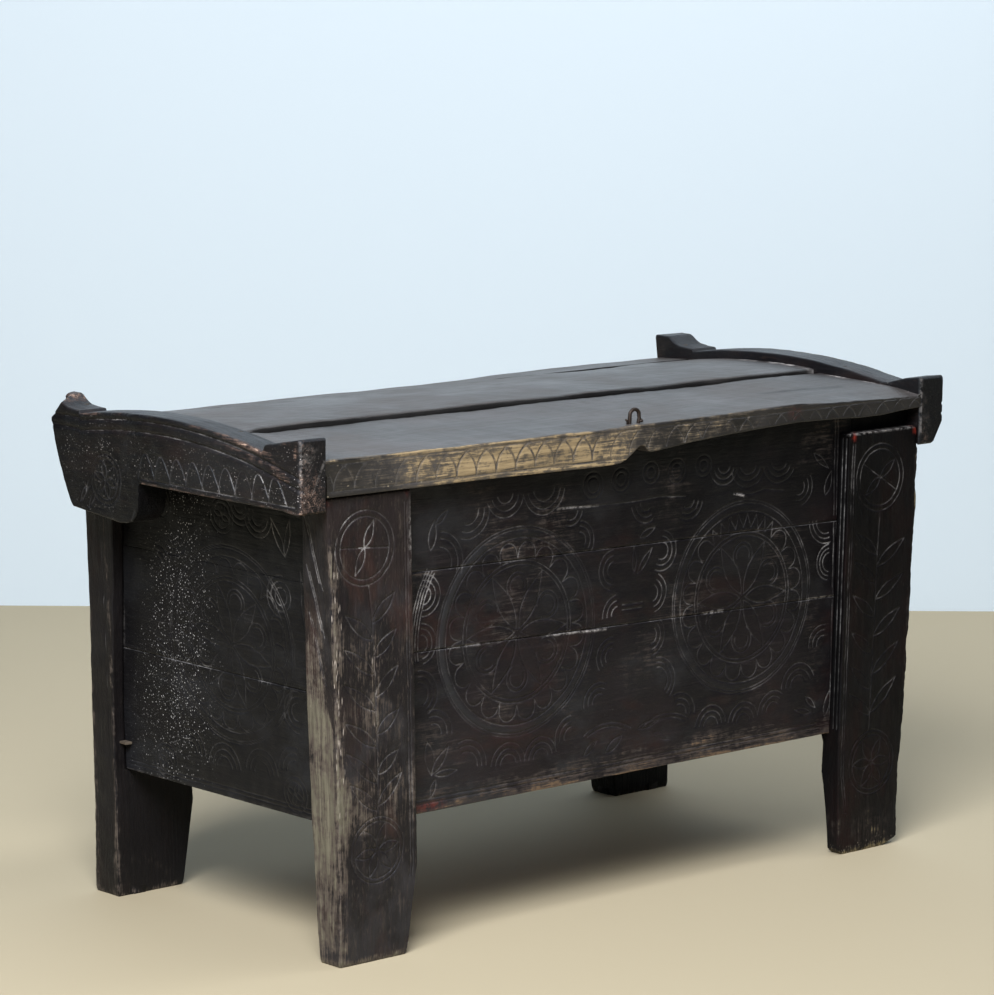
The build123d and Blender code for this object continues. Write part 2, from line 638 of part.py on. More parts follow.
# ---------------------------------------------------------------- build
def build():
    right_front = front_stile()
    right_rear = rear_stile()
    fronts = front_boards()
    backs = back_boards()
    ends = end_boards()

    front_pegs = board_pegs(
        front_stile_side_view(), STILE_FACE_Y + PEG_END_WALL, STILE_FACE_Y + DEPTH / 2,
        (LEG_CLEARANCE, LOWER_SEAM, UPPER_SEAM, LID_UNDERSIDE))
    back_pegs = board_pegs(
        rear_stile_side_view(), BACK_Y - DEPTH / 2, NECK_BACK_Y - PEG_END_WALL,
        (LEG_CLEARANCE, BACK_LOWER_SEAM, BACK_UPPER_SEAM, HEAD_TOP))

    pieces = {}
    pieces["stile_front_right"] = right_front
    pieces["stile_front_left"] = left_of(right_front)
    pieces["stile_rear_right"] = right_rear
    pieces["stile_rear_left"] = left_of(right_rear)
    for level, board in zip(("lower", "middle", "upper"), fronts):
        pieces["front_board_" + level] = board
    for level, board in zip(("lower", "middle", "upper"), backs):
        pieces["back_board_" + level] = board

    for peg in front_pegs:
        for node in pieces:
            if node.startswith(("stile_front", "front_board")):
                pieces[node] -= peg
    for peg in back_pegs:
        for node in pieces:
            if node.startswith(("stile_rear", "back_board")):
                pieces[node] -= peg

    for level, board in zip(("lower", "middle", "upper"), ends):
        pieces["right_end_board_" + level] = board
        pieces["left_end_board_" + level] = left_of(board)

    middles, end_floor = floor_boards()
    pieces["floor_board_end_left"] = left_of(end_floor)
    for number, board in enumerate(middles, start=1):
        pieces["floor_board_%d" % number] = board
    pieces["floor_board_end_right"] = end_floor

    pieces["front_board_pegs"] = Compound(children=front_pegs)
    pieces["back_board_pegs"] = Compound(children=back_pegs)
    pieces["lid_pin_right"] = lid_pin()
    pieces["lid_pin_left"] = left_of(lid_pin())
    pieces["end_shim"] = shim()

    for place, board in zip(("front", "middle", "rear"), lid_boards()):
        pieces["lid_board_" + place] = board
    pieces["lid_cleat_right"] = cleat()
    pieces["lid_cleat_left"] = left_of(cleat())
    rods = lid_peg_rods()
    pieces["lid_pegs"] = Compound(children=rods + [left_of(rod) for rod in rods])
    pieces["hasp_staple"] = staple()
    return pieces


for node_name, piece in build().items():
    save(piece, node_name)
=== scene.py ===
"""A smoke-dark dowry chest of hewn boards, chip-carved all over and worn pale at its arrises."""
import math
import bmesh
import bpy
import numpy as np
from mathutils import Matrix, Vector


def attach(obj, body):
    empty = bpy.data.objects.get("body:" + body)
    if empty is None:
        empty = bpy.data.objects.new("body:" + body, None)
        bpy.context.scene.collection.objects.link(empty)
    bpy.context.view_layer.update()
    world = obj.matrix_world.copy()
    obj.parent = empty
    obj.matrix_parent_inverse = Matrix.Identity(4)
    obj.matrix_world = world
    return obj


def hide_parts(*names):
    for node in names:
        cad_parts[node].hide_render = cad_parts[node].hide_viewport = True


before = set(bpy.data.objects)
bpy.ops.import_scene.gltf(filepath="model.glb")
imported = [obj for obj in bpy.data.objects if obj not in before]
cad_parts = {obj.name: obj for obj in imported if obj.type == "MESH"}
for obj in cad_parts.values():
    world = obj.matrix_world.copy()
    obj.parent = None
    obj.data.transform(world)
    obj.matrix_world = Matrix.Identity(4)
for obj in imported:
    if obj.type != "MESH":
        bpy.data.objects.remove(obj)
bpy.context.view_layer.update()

# ------------------------------------------------------------------------------------------
# FRONT STILES.  Two plank legs of riven oak, 13 to 14 cm wide, that run from the floor to the
# lid.  Their faces are chip-carved, their outer arrises are worn back to pale wood, and the
# boards of the front and the ends stand in grooves that stop where the foot begins.
# ------------------------------------------------------------------------------------------
MM = 0.001
FRONT_STILE_FACE = -264.0
BOARD_FACE = -243.0
BOARD_THICK = 20.0
BOARD_LOW = 178.0
BOARD_END = 437.0
LID_UNDERSIDE = 646.0
SHOULDER = 615.0
ANKLE = 120.0
SOLE_OUTER, SPLAY = 530.0, 23.0
SOLE_INNER, ANKLE_INNER, HEAD_INNER = 417.0, 399.0, 413.0
END_BOARD_FACE = 511.0
END_BOARD_THICK = 20.0
END_START, END_FINISH = -229.0, 237.0
END_LEAN = math.radians(2.5)
CUT_HALF_WIDTH = 1.5
FINE_STEP = 1.55
SIDES = {-1: "left", 1: "right"}


def unevenness(points, size, seed, waves=8):
    """Smooth swelling and sinking between about -1 and 1, size millimetres from crest to crest."""
    rng = np.random.default_rng(seed)
    points = np.asarray(points, float)
    total = np.zeros(points.shape[:-1])
    for _ in range(waves):
        way = rng.normal(size=points.shape[-1])
        way /= np.linalg.norm(way)
        pitch = size * rng.uniform(0.6, 1.7)
        total += np.sin(points @ way * (2 * math.pi / pitch) + rng.uniform(0, 2 * math.pi))
    return total / math.sqrt(waves * 1.6)


def adzed(points, seed, *hollows):
    """The wood's hewn unevenness; each of its hollows is (depth, size)."""
    return sum(depth * unevenness(points, size, seed + number)
               for number, (depth, size) in enumerate(hollows))


def ring_at_height(plan, z, side):
    """A plan in X and Y as a ring at a height, mirrored for the left-hand side."""
    return np.column_stack([side * plan[:, 0], plan[:, 1], np.full(len(plan), z)])


def section(corners, steps, soft):
    """Points round a closed section.

    Side i runs from corner i to the next one in steps[i] steps.  A corner is rounded off over
    soft[i], or stays sharp where soft[i] is None.
    """
    corners = np.asarray(corners, float)
    count = len(corners)
    starts, ends = [], []
    for i in range(count):
        into = corners[i - 1] - corners[i]
        out = corners[(i + 1) % count] - corners[i]
        into_length, out_length = np.hypot(*into), np.hypot(*out)
        size = soft[i] or 0.0
        starts.append(corners[i] + into * min(0.45, size / max(into_length, 1e-6)))
        ends.append(corners[i] + out * min(0.45, size / max(out_length, 1e-6)))
    points = []
    for i in range(count):
        if soft[i] is None:
            points.append(corners[i])
        else:
            for t in (0.0, 0.22, 0.5, 0.78, 1.0):
                curve = (1 - t) ** 2 * starts[i] + 2 * t * (1 - t) * corners[i] + t * t * ends[i]
                points.append(curve)
        following = starts[(i + 1) % count]
        for step in range(1, steps[i]):
            points.append(ends[i] + (following - ends[i]) * step / steps[i])
    return np.array(points)


def set_down(name, data):
    """An object in the scene, at the origin and unturned."""
    made = bpy.data.objects.new(name, data)
    bpy.context.scene.collection.objects.link(made)
    return made


def skin(name, rings):
    """A closed mesh, in metres, through rings of points given in millimetres."""
    rings = np.asarray(rings, float) * MM
    rows, around = rings.shape[:2]
    index = np.arange(rows * around).reshape(rows, around)
    beside = np.roll(index, -1, axis=1)
    quads = np.stack([index[:-1], beside[:-1], beside[1:], index[1:]], axis=-1).reshape(-1, 4)
    faces = quads.tolist() + [index[0][::-1].tolist(), index[-1].tolist()]
    mesh = bpy.data.meshes.new(name)
    mesh.from_pydata(rings.reshape(-1, 3).tolist(), [], faces)
    shape = bmesh.new()
    shape.from_mesh(mesh)
    bmesh.ops.remove_doubles(shape, verts=shape.verts, dist=2e-6)
    bmesh.ops.recalc_face_normals(shape, faces=shape.faces)
    for face in shape.faces:
        face.smooth = len(face.verts) <= 4
    shape.to_mesh(mesh)
    shape.free()
    return set_down(name, mesh)


def places(piece):
    """Where a piece's vertices are, in millimetres."""
    flat = np.zeros(len(piece.data.vertices) * 3)
    piece.data.vertices.foreach_get("co", flat)
    return flat.reshape(-1, 3) / MM


def shift(piece, moved):
    """Moves a piece's vertices to new places, given in millimetres."""
    piece.data.vertices.foreach_set("co", (np.asarray(moved) * MM).ravel())
    piece.data.update()


def tint(piece, name, values):
    """Stores how strongly each vertex carries a mark, from 0 to 1: wear, dirt, painted shade or
    painted light.
    """
    layer = piece.data.attributes.get(name)
    if layer is None:
        layer = piece.data.attributes.new(name, "FLOAT", "POINT")
    layer.data.foreach_set("value", np.clip(values, 0, 1).astype(np.float32))


def tint_all(piece, **kinds):
    """Stores several marks at once, each by its name."""
    for name, values in kinds.items():
        tint(piece, name, values)


def near(values, place, reach):
    """1 at a place, fading to 0 at a reach from it."""
    return np.clip(1 - np.abs(np.asarray(values) - place) / reach, 0, 1)


# The carver's strokes: every one is a row of points on the face, in millimetres.
def arc(x, z, radius, start, finish):
    steps = max(4, int(abs(finish - start) * radius / 150))
    turn = np.radians(np.linspace(start, finish, steps + 1))
    return np.stack([x + radius * np.cos(turn), z + radius * np.sin(turn)], axis=-1)


def circle(x, z, radius):
    return arc(x, z, radius, 0, 360)


def stroke(*points):
    return np.array(points, float)


def leaf(x0, z0, x1, z1, width):
    """Two bowed strokes from a leaf's root to its tip."""
    root, tip = np.array([x0, z0], float), np.array([x1, z1], float)
    along = tip - root
    across = np.array([-along[1], along[0]]) / np.hypot(*along)
    t = np.linspace(0, 1, 11)[:, None]
    bow = width / 2 * np.sin(math.pi * t ** 0.85)
    middle = root + along * t
    return [middle + across * bow, middle - across * bow]


def petals(x, z, radius, count, width, turn=0.0):
    """Leaves round a centre, as compasses lay them out."""
    marks = []
    for number in range(count):
        angle = math.radians(turn + 360 / count * number)
        reach_x, reach_z = radius * math.cos(angle), radius * math.sin(angle)
        marks += leaf(x + 0.06 * reach_x, z + 0.06 * reach_z, x + reach_x, z + reach_z, width)
    return marks


def on_face(marks, place):
    """Lays strokes on a face; place turns two columns of numbers into points in space."""
    return [place(np.asarray(mark)[:, 0], np.asarray(mark)[:, 1]) for mark in marks]


def at_y(y):
    """Places strokes on an upright face at one depth."""
    return lambda across, up: np.stack([across, np.full_like(across, y), up], axis=-1)


def stroke_wires(name, marks):
    """The carver's strokes as wires that the cutting tree follows."""
    verts, edges = [], []
    for mark in marks:
        first = len(verts)
        verts += (mark * MM).tolist()
        edges += [(first + i, first + i + 1) for i in range(len(mark) - 1)]
    mesh = bpy.data.meshes.new(name)
    mesh.from_pydata(verts, edges, [])
    return set_down(name, mesh)


def add_node(tree, kind, feeds, **traits):
    """A node with its traits set; each feed is a plain value or another node's output."""
    made = tree.nodes.new(kind)
    for trait, value in traits.items():
        setattr(made, trait, value)
    for socket, value in feeds.items():
        if isinstance(value, bpy.types.NodeSocket):
            tree.links.new(value, made.inputs[socket])
        else:
            made.inputs[socket].default_value = value
    return made


def new_tree(name, inputs, output):
    """A geometry tree, what it is given by name, and the node that takes its result."""
    tree = bpy.data.node_groups.new(name, "GeometryNodeTree")
    for label, kind in inputs:
        tree.interface.new_socket(name=label, in_out="INPUT", socket_type="NodeSocket" + kind)
    tree.interface.new_socket(name=output, in_out="OUTPUT", socket_type="NodeSocketGeometry")
    return tree, tree.nodes.new("NodeGroupInput").outputs, tree.nodes.new("NodeGroupOutput")


def end_tree(tree, shape, finish, result):
    """Makes instances real, gives them their finish and hands them on."""
    whole = add_node(tree, "GeometryNodeRealizeInstances", {"Geometry": shape})
    done = add_node(tree, "GeometryNodeSetMaterial",
                    {"Geometry": whole.outputs["Geometry"], "Material": finish})
    tree.links.new(done.outputs["Geometry"], result.inputs[0])


def cutting_tree():
    """Geometry nodes that sink a rounded V along wires and store the distance to the nearest."""
    tree, given, result = new_tree("veiner_cut", (
        ("Wood", "Geometry"), ("Strokes", "Object"), ("Depth", "Float"), ("Half Width", "Float"),
        ("Finish", "Material")), "Carved")
    wires = add_node(tree, "GeometryNodeObjectInfo", {"Object": given["Strokes"]},
                     transform_space="ORIGINAL")
    nearest = add_node(tree, "GeometryNodeProximity", {0: wires.outputs["Geometry"]},
                       target_element="EDGES").outputs["Distance"]
    keep = add_node(tree, "GeometryNodeStoreNamedAttribute",
                    {"Geometry": given["Wood"], "Name": "from_cut", "Value": nearest},
                    data_type="FLOAT", domain="POINT")
    floor_of_cut = add_node(tree, "ShaderNodeMath", {0: given["Half Width"], 1: 0.3},
                            operation="MULTIPLY").outputs[0]
    hollow = add_node(tree, "ShaderNodeMapRange", {
        "Value": nearest, "From Min": floor_of_cut, "From Max": given["Half Width"],
        "To Min": -1.0, "To Max": 0.0}, interpolation_type="SMOOTHSTEP")
    sink = add_node(tree, "ShaderNodeMath", {0: hollow.outputs["Result"], 1: given["Depth"]},
                    operation="MULTIPLY").outputs[0]
    normal = tree.nodes.new("GeometryNodeInputNormal").outputs[0]
    push = add_node(tree, "ShaderNodeVectorMath", {0: normal, "Scale": sink}, operation="SCALE")
    move = add_node(tree, "GeometryNodeSetPosition",
                    {"Geometry": keep.outputs["Geometry"], "Offset": push.outputs["Vector"]})
    end_tree(tree, move.outputs["Geometry"], given["Finish"], result)
    return tree


def through_tree(piece, tree, settings):
    """Runs a piece through a tree and keeps the plain mesh that comes out."""
    modifier = piece.modifiers.new(tree.name, "NODES")
    modifier.node_group = tree
    names = {s.name: s.identifier for s in tree.interface.items_tree if s.in_out == "INPUT"}
    for name, value in settings.items():
        modifier[names[name]] = value
    bpy.context.view_layer.update()
    ready = piece.evaluated_get(bpy.context.evaluated_depsgraph_get())
    made = bpy.data.meshes.new_from_object(ready)
    piece.modifiers.remove(modifier)
    piece.data = made


VEINER = cutting_tree()


def carve(piece, marks, finish, depth=1.0, half_width=CUT_HALF_WIDTH):
    """Cuts strokes into a piece, some millimetres deep, and gives it its finish."""
    wires = stroke_wires(piece.name + "_strokes", marks)
    settings = {"Strokes": wires, "Depth": depth * MM, "Half Width": half_width * MM,
                "Finish": finish}
    through_tree(piece, VEINER, settings)
    bpy.data.objects.remove(wires)


CUT_DUST_AND_GLINT = (0.42, 0.41, 0.42)
CHALK_AND_HIGHLIGHT = (0.50, 0.48, 0.48)
RED_PAINT = (0.30, 0.035, 0.022)


def old_wood(name, dark, brown, half_worn, bare, grain="X", gloss=0.42, sheen=0.25,
             film=None, russet=None, scuffs=0.25, relief=0.6,
             flecks=(0.42, 0.42, 0.43), fleck_size=390.0, fleck_stretch=1.0,
             fleck_turn=(0.0, 0.0, 0.0), wax=(0.76, 0.87, 1.0), cut_reach=0.0036,
             shade_and_soot_share=0.3):
    """Smoke-darkened, waxed wood: long grain, a grey film, wear, dust in its cuts, and painted
    shade and light.
    """
    made = bpy.data.materials.new(name)
    made.use_nodes = True
    tree = made.node_tree
    surface = tree.nodes["Principled BSDF"].inputs
    surface["Specular IOR Level"].default_value = sheen
    surface["Specular Tint"].default_value = (*wax, 1.0)
    place = tree.nodes.new("ShaderNodeTexCoord").outputs["Object"]

    def turned(stretch, away=(0.0, 0.0, 0.0), lean=(0.0, 0.0, 0.0)):
        return add_node(tree, "ShaderNodeMapping", {
            "Vector": place, "Scale": stretch, "Location": away, "Rotation": lean}).outputs[0]

    def noise(scale, detail, stretch=(1.0, 1.0, 1.0), rough=0.6, away=(0.0, 0.0, 0.0)):
        return add_node(tree, "ShaderNodeTexNoise", {
            "Vector": turned(stretch, away), "Scale": scale, "Detail": detail,
            "Roughness": rough}).outputs["Fac"]

    def spread(value, low, high, out_low=0.0, out_high=1.0):
        return add_node(tree, "ShaderNodeMapRange", {
            "Value": value, "From Min": low, "From Max": high, "To Min": out_low,
            "To Max": out_high}, interpolation_type="SMOOTHSTEP").outputs["Result"]

    def reckon(operation, first, second):
        return add_node(tree, "ShaderNodeMath", {0: first, 1: second},
                        operation=operation).outputs[0]

    def plus(first, second):
        return reckon("ADD", first, second)

    def times(first, second):
        return reckon("MULTIPLY", first, second)

    def blend(share, first, second):
        ends = [(*c, 1.0) if isinstance(c, tuple) else c for c in (first, second)]
        return add_node(tree, "ShaderNodeMix", {"Factor": share, 6: ends[0], 7: ends[1]},
                        data_type="RGBA").outputs[2]

    def kept(attribute):
        return add_node(tree, "ShaderNodeAttribute", {}, attribute_name=attribute).outputs["Fac"]

    def along(short):
        return {"X": (short, 1, 1), "Y": (1, short, 1), "Z": (1, 1, short)}[grain]

    streaks = noise(170.0, 6.0, along(0.05), 0.65)
    pores = noise(600.0, 3.0, along(0.05), 0.55)
    patches = noise(6.5, 5.0)
    blotches = noise(24.0, 5.0, rough=0.65)
    grime = noise(95.0, 5.0, rough=0.7)
    scratches = noise(55.0, 7.0, along(0.22), 0.75)
    nicks = noise(340.0, 2.0, along(0.3), 0.5)

    # The ground: near black, browner in patches, with paler streaks along the grain.
    ground = blend(spread(patches, 0.40, 0.66), dark, brown)
    if russet:
        ruddy = noise(12.0, 5.0, along(0.5), 0.65, (3.1, 1.7, 0.4))
        ground = blend(spread(ruddy, 0.50, 0.66, 0.0, 0.8), ground, russet)
    if film:
        # The grey film, lightened further by the stored bloom and painted sheen.
        greyed = noise(9.0, 6.0, along(0.6), 0.68, (0.6, 4.2, 2.3))
        cloud = plus(spread(greyed, 0.47, 0.66, 0.0, 0.8), kept("bloom"))
        ground = blend(reckon("MINIMUM", cloud, 1.0), ground, film)
    paler = tuple(min(1.0, 2.0 * c + 0.008) for c in brown)
    ground = blend(spread(streaks, 0.54, 0.78, 0.0, 0.6), ground, paler)
    ground = blend(spread(scratches, 0.57, 0.74, 0.0, scuffs), ground, half_worn)
    ground = blend(spread(nicks, 0.60, 0.70, 0.0, 0.5 * scuffs), ground, half_worn)
    # Painted shade, with some soot, darkens the ground towards a share of its darkest tone.
    ground = blend(times(kept("soot"), 0.9), ground, tuple(shade_and_soot_share * c for c in dark))

    # Wear goes through the wax first and then down to the bare wood.
    wear = kept("wear")
    uneven = 0.0
    for field, strength in ((grime, 1.5), (streaks, 1.3), (blotches, 1.1), (pores, 1.7)):
        uneven = plus(uneven, times(reckon("SUBTRACT", field, 0.5), strength))
    amount = plus(wear, times(uneven, spread(wear, 0.0, 0.25)))
    half = spread(amount, 0.10, 0.55)
    through = spread(amount, 0.50, 0.95)
    ground = blend(half, ground, half_worn)
    pale = blend(spread(streaks, 0.38, 0.66), tuple(0.6 * c for c in bare), bare)
    ground = blend(through, ground, pale)

    # Dust lies in the cuts of dark wood, and its pale lines also stand in for painted glints on the
    # cuts' edges; smoke lies in the cuts of bare wood.
    away = kept("from_cut")
    faint = times(spread(blotches, 0.36, 0.64, 0.10, 1.0), spread(grime, 0.38, 0.60, 0.35, 1.0))
    line = times(spread(away, 0.0003, 0.0015, 1.0, 0.0), times(faint, kept("lines")))
    ground = blend(times(line, spread(through, 0.1, 0.6, 1.0, 0.0)), ground, CUT_DUST_AND_GLINT)
    smoky = times(spread(away, cut_reach / 3, cut_reach, 1.0, 0.0),
                  spread(grime, 0.36, 0.60, 0.45, 1.0))
    ground = blend(times(smoky, through), ground, tuple(1.1 * c for c in dark))
    # Pale chalk dust, and painted highlights along seams, splits and arrises.
    ground = blend(times(kept("chalk"), spread(grime, 0.40, 0.58)), ground, CHALK_AND_HIGHLIGHT)
    ground = blend(times(kept("paint"), spread(grime, 0.38, 0.55)), ground, RED_PAINT)

    # Flecks of dust stuck to the wax, sparks of bare fibre along an arris, and painted glints where
    # the end boards' wax catches the light.
    cells = add_node(tree, "ShaderNodeTexVoronoi", {
        "Vector": turned(along(fleck_stretch), lean=fleck_turn), "Scale": fleck_size}).outputs
    lot = add_node(tree, "ShaderNodeSeparateColor", {"Color": cells["Color"]}).outputs
    chance = reckon("SUBTRACT", plus(lot["Red"], kept("specks")), 1.0)
    spot = times(spread(cells["Distance"], 0.18, 0.44, 1.0, 0.0), spread(chance, 0.0, 0.30))
    spot = times(spot, spread(lot["Green"], 0.0, 1.0, 0.2, 1.0))
    tree.links.new(blend(spot, ground, flecks), surface["Base Color"])

    shine = spread(patches, 0.32, 0.68, gloss - 0.08, gloss + 0.08)
    shine = plus(plus(shine, times(half, 0.22)), spread(streaks, 0.4, 0.7, 0.0, 0.10))
    tree.links.new(shine, surface["Roughness"])

    height = spread(away, 0.0002, 0.0017, -0.55, 0.0)
    for field, strength in ((streaks, 0.8), (pores, 0.2), (grime, 0.35), (scratches, 1.2)):
        height = plus(height, times(field, strength))
    bump = add_node(tree, "ShaderNodeBump", {
        "Strength": relief, "Distance": 0.0014, "Height": height})
    tree.links.new(bump.outputs["Normal"], surface["Normal"])
    return made


def spots(across, up, marks):
    """Patches of strength; each mark is (across, up, reach, strength)."""
    total = np.zeros(len(across))
    for mark_across, mark_up, reach, strength in marks:
        away = np.hypot(across - mark_across, up - mark_up)
        total += strength * np.clip(1.4 * (1 - away / reach), 0, 1)
    return total


STILE_WOOD = old_wood("stile_oak", (0.0120, 0.0098, 0.0112), (0.028, 0.0195, 0.0190),
                      (0.095, 0.077, 0.066), (0.180, 0.166, 0.126), grain="Z", gloss=0.44,
                      film=(0.040, 0.038, 0.043), russet=(0.044, 0.0225, 0.0190), scuffs=0.75,
                      relief=0.8, flecks=(0.52, 0.46, 0.42), fleck_size=520.0, fleck_stretch=0.13)
# A darker copy of the stile oak for the right-hand stiles, which stand further from the light:
# painted shade.
SHADED_STILE_WOOD = old_wood("smoked_oak", (0.0042, 0.0035, 0.0040), (0.0080, 0.0062, 0.0062),
                       (0.030, 0.025, 0.023), (0.26, 0.215, 0.125), grain="Z", gloss=0.44,
                       sheen=0.13, film=(0.0085, 0.0083, 0.0098), russet=(0.0165, 0.0075, 0.0070),
                       scuffs=0.45, relief=0.8, flecks=(0.40, 0.36, 0.30), fleck_size=420.0,
                       fleck_stretch=0.5)


def stile_outer(z):
    """A stile's outer edge, which splays out from the sole to the shoulder."""
    return SOLE_OUTER + SPLAY * np.minimum(z / SHOULDER, 1.0) ** 2


def stile_inner(z):
    """A stile's inner edge: the foot narrows to its sole, and the plank towards its head."""
    return np.interp(z, [0.0, ANKLE, LID_UNDERSIDE], [SOLE_INNER, ANKLE_INNER, HEAD_INNER])


def front_stile_cheek(z):
    """How far back a front stile reaches; its rear face bellies out halfway up."""
    t = z / LID_UNDERSIDE
    return -221.0 + 63.0 * t - 58.0 * t * t


def end_wall(z):
    """How far out the end boards' face is at a height."""
    return END_BOARD_FACE + (z - BOARD_LOW) * math.tan(END_LEAN)


def right_inner(z):
    """The inner edge of the right-hand front stile, which is straighter."""
    return np.interp(z, [0.0, BOARD_LOW, LID_UNDERSIDE], [404.0, 402.0, HEAD_INNER])


def front_stile_edges(side, z):
    """Inner edge, outer edge and inner rear arris; the right-hand plank was riven fuller."""
    back = front_stile_cheek(z)
    if side < 0:
        return float(stile_inner(z)), float(stile_outer(z)), back
    inner = right_inner(z)
    swell = np.interp(z, [0, 80, 168, 242, 300, 448, 507, 545, 582, 588, SHOULDER],
                      [-1, -1.0, 2.6, 8.0, 8.5, 9.6, 9.5, 8.0, 7.0, 4.2, 1.5])
    worn_away = 33.0 * max(0.0, 1 - z / 11.0) ** 1.3
    arris = np.interp(z, [0, 31, 65, 101, 119, 163, 179, 205],
                      [-243, -241, -237.6, -232.6, -229, -231.5, -226, back])
    inner += 9.0 * max(0.0, 1 - z / 9.0) ** 1.5
    return float(inner), float(stile_outer(z) + swell - worn_away), min(back, float(arris))


def levels(marks, step):
    """Heights or lengths between marks, step apart, with every mark kept."""
    rows = []
    for low, high in zip(marks, marks[1:]):
        rows += np.linspace(low, high, max(2, int(round((high - low) / step)) + 1))[:-1].tolist()
    return rows + [marks[-1]]


def front_stile(side, seed):
    """side is 1 for the right-hand stile and -1 for the left-hand one."""
    rings = []
    heights = levels([0.0, 2.0, 4.0, 6.0, 8.0, 11.0, BOARD_LOW - 0.3, BOARD_LOW + 0.3,
                      SHOULDER - 2.0, SHOULDER, SHOULDER + 0.4, LID_UNDERSIDE], FINE_STEP)
    worn = unevenness(np.array([[z, 0.0] for z in heights]), 45.0, seed)
    chips = unevenness(np.array([[z, 9.0] for z in heights]), 9.0, seed + 1)
    for row, z in enumerate(heights):
        inner, outer, inner_back = front_stile_edges(side, z)
        back = front_stile_cheek(z)
        stopped = z < BOARD_LOW
        above = z > SHOULDER
        front = BOARD_FACE if above else FRONT_STILE_FACE
        slot_end = inner if stopped else BOARD_END
        slot_back = BOARD_FACE + BOARD_THICK
        if stopped:
            slot_back = min(slot_back, inner_back - 0.3)
        slot_front = min(BOARD_FACE, slot_back - 0.3)
        end_face = end_wall(z)
        end_back = end_face - END_BOARD_THICK
        end_slot = back if stopped else END_START
        front_inner = BOARD_END if above else inner
        outer_soft = 3.2 + 1.8 * max(worn[row], -1) + 1.3 * max(chips[row], 0)
        toe = 1.5 * max(0.0, 1 - z / 10.0) ** 2
        corners = [
            (front_inner + toe, front + toe), (outer - toe, front + toe), (outer - toe, back - toe),
            (end_face, back - toe), (end_face, end_slot), (end_back, end_slot),
            (end_back, back - toe), (inner + toe, inner_back - toe),
            (inner + toe, slot_back), (slot_end, slot_back), (slot_end, slot_front),
            (front_inner + toe, slot_front)]
        steps = [86, 30, 4, 2, 2, 2, 12, 4, 2, 2, 2, 8]
        soft = [1.8, outer_soft, 3.0, None, None, None, None, 2.0, None, None, None, None]
        plan = section(corners, steps, soft)
        rings.append(ring_at_height(plan, z, side))
    piece = skin("front_stile_" + SIDES[side], rings)
    where = places(piece)
    hewn = adzed(where, seed + 2, (0.5, 70.0), (0.28, 24.0))
    hewn += 0.22 * unevenness(where * np.array([1.0, 1.0, 0.12]), 7.0, seed + 4)
    facing = np.where(where[:, 1] < FRONT_STILE_FACE + 6, 1.0, 0.0)
    outside = np.where(np.abs(where[:, 0]) > stile_outer(where[:, 2]) - 8, 1.0, 0.0)
    where[:, 1] += hewn * facing * np.where(where[:, 2] < SHOULDER - 3, 1.0, 0.3)
    where[:, 0] -= side * hewn * outside * np.clip((SHOULDER - where[:, 2]) / 40, 0.15, 1)
    shift(piece, where)
    return piece


LEFT_RING, LEFT_TWIST = (490.0, 547.0), 66.0
RIGHT_RING, RIGHT_TWIST = (477.0, 548.0), 38.0


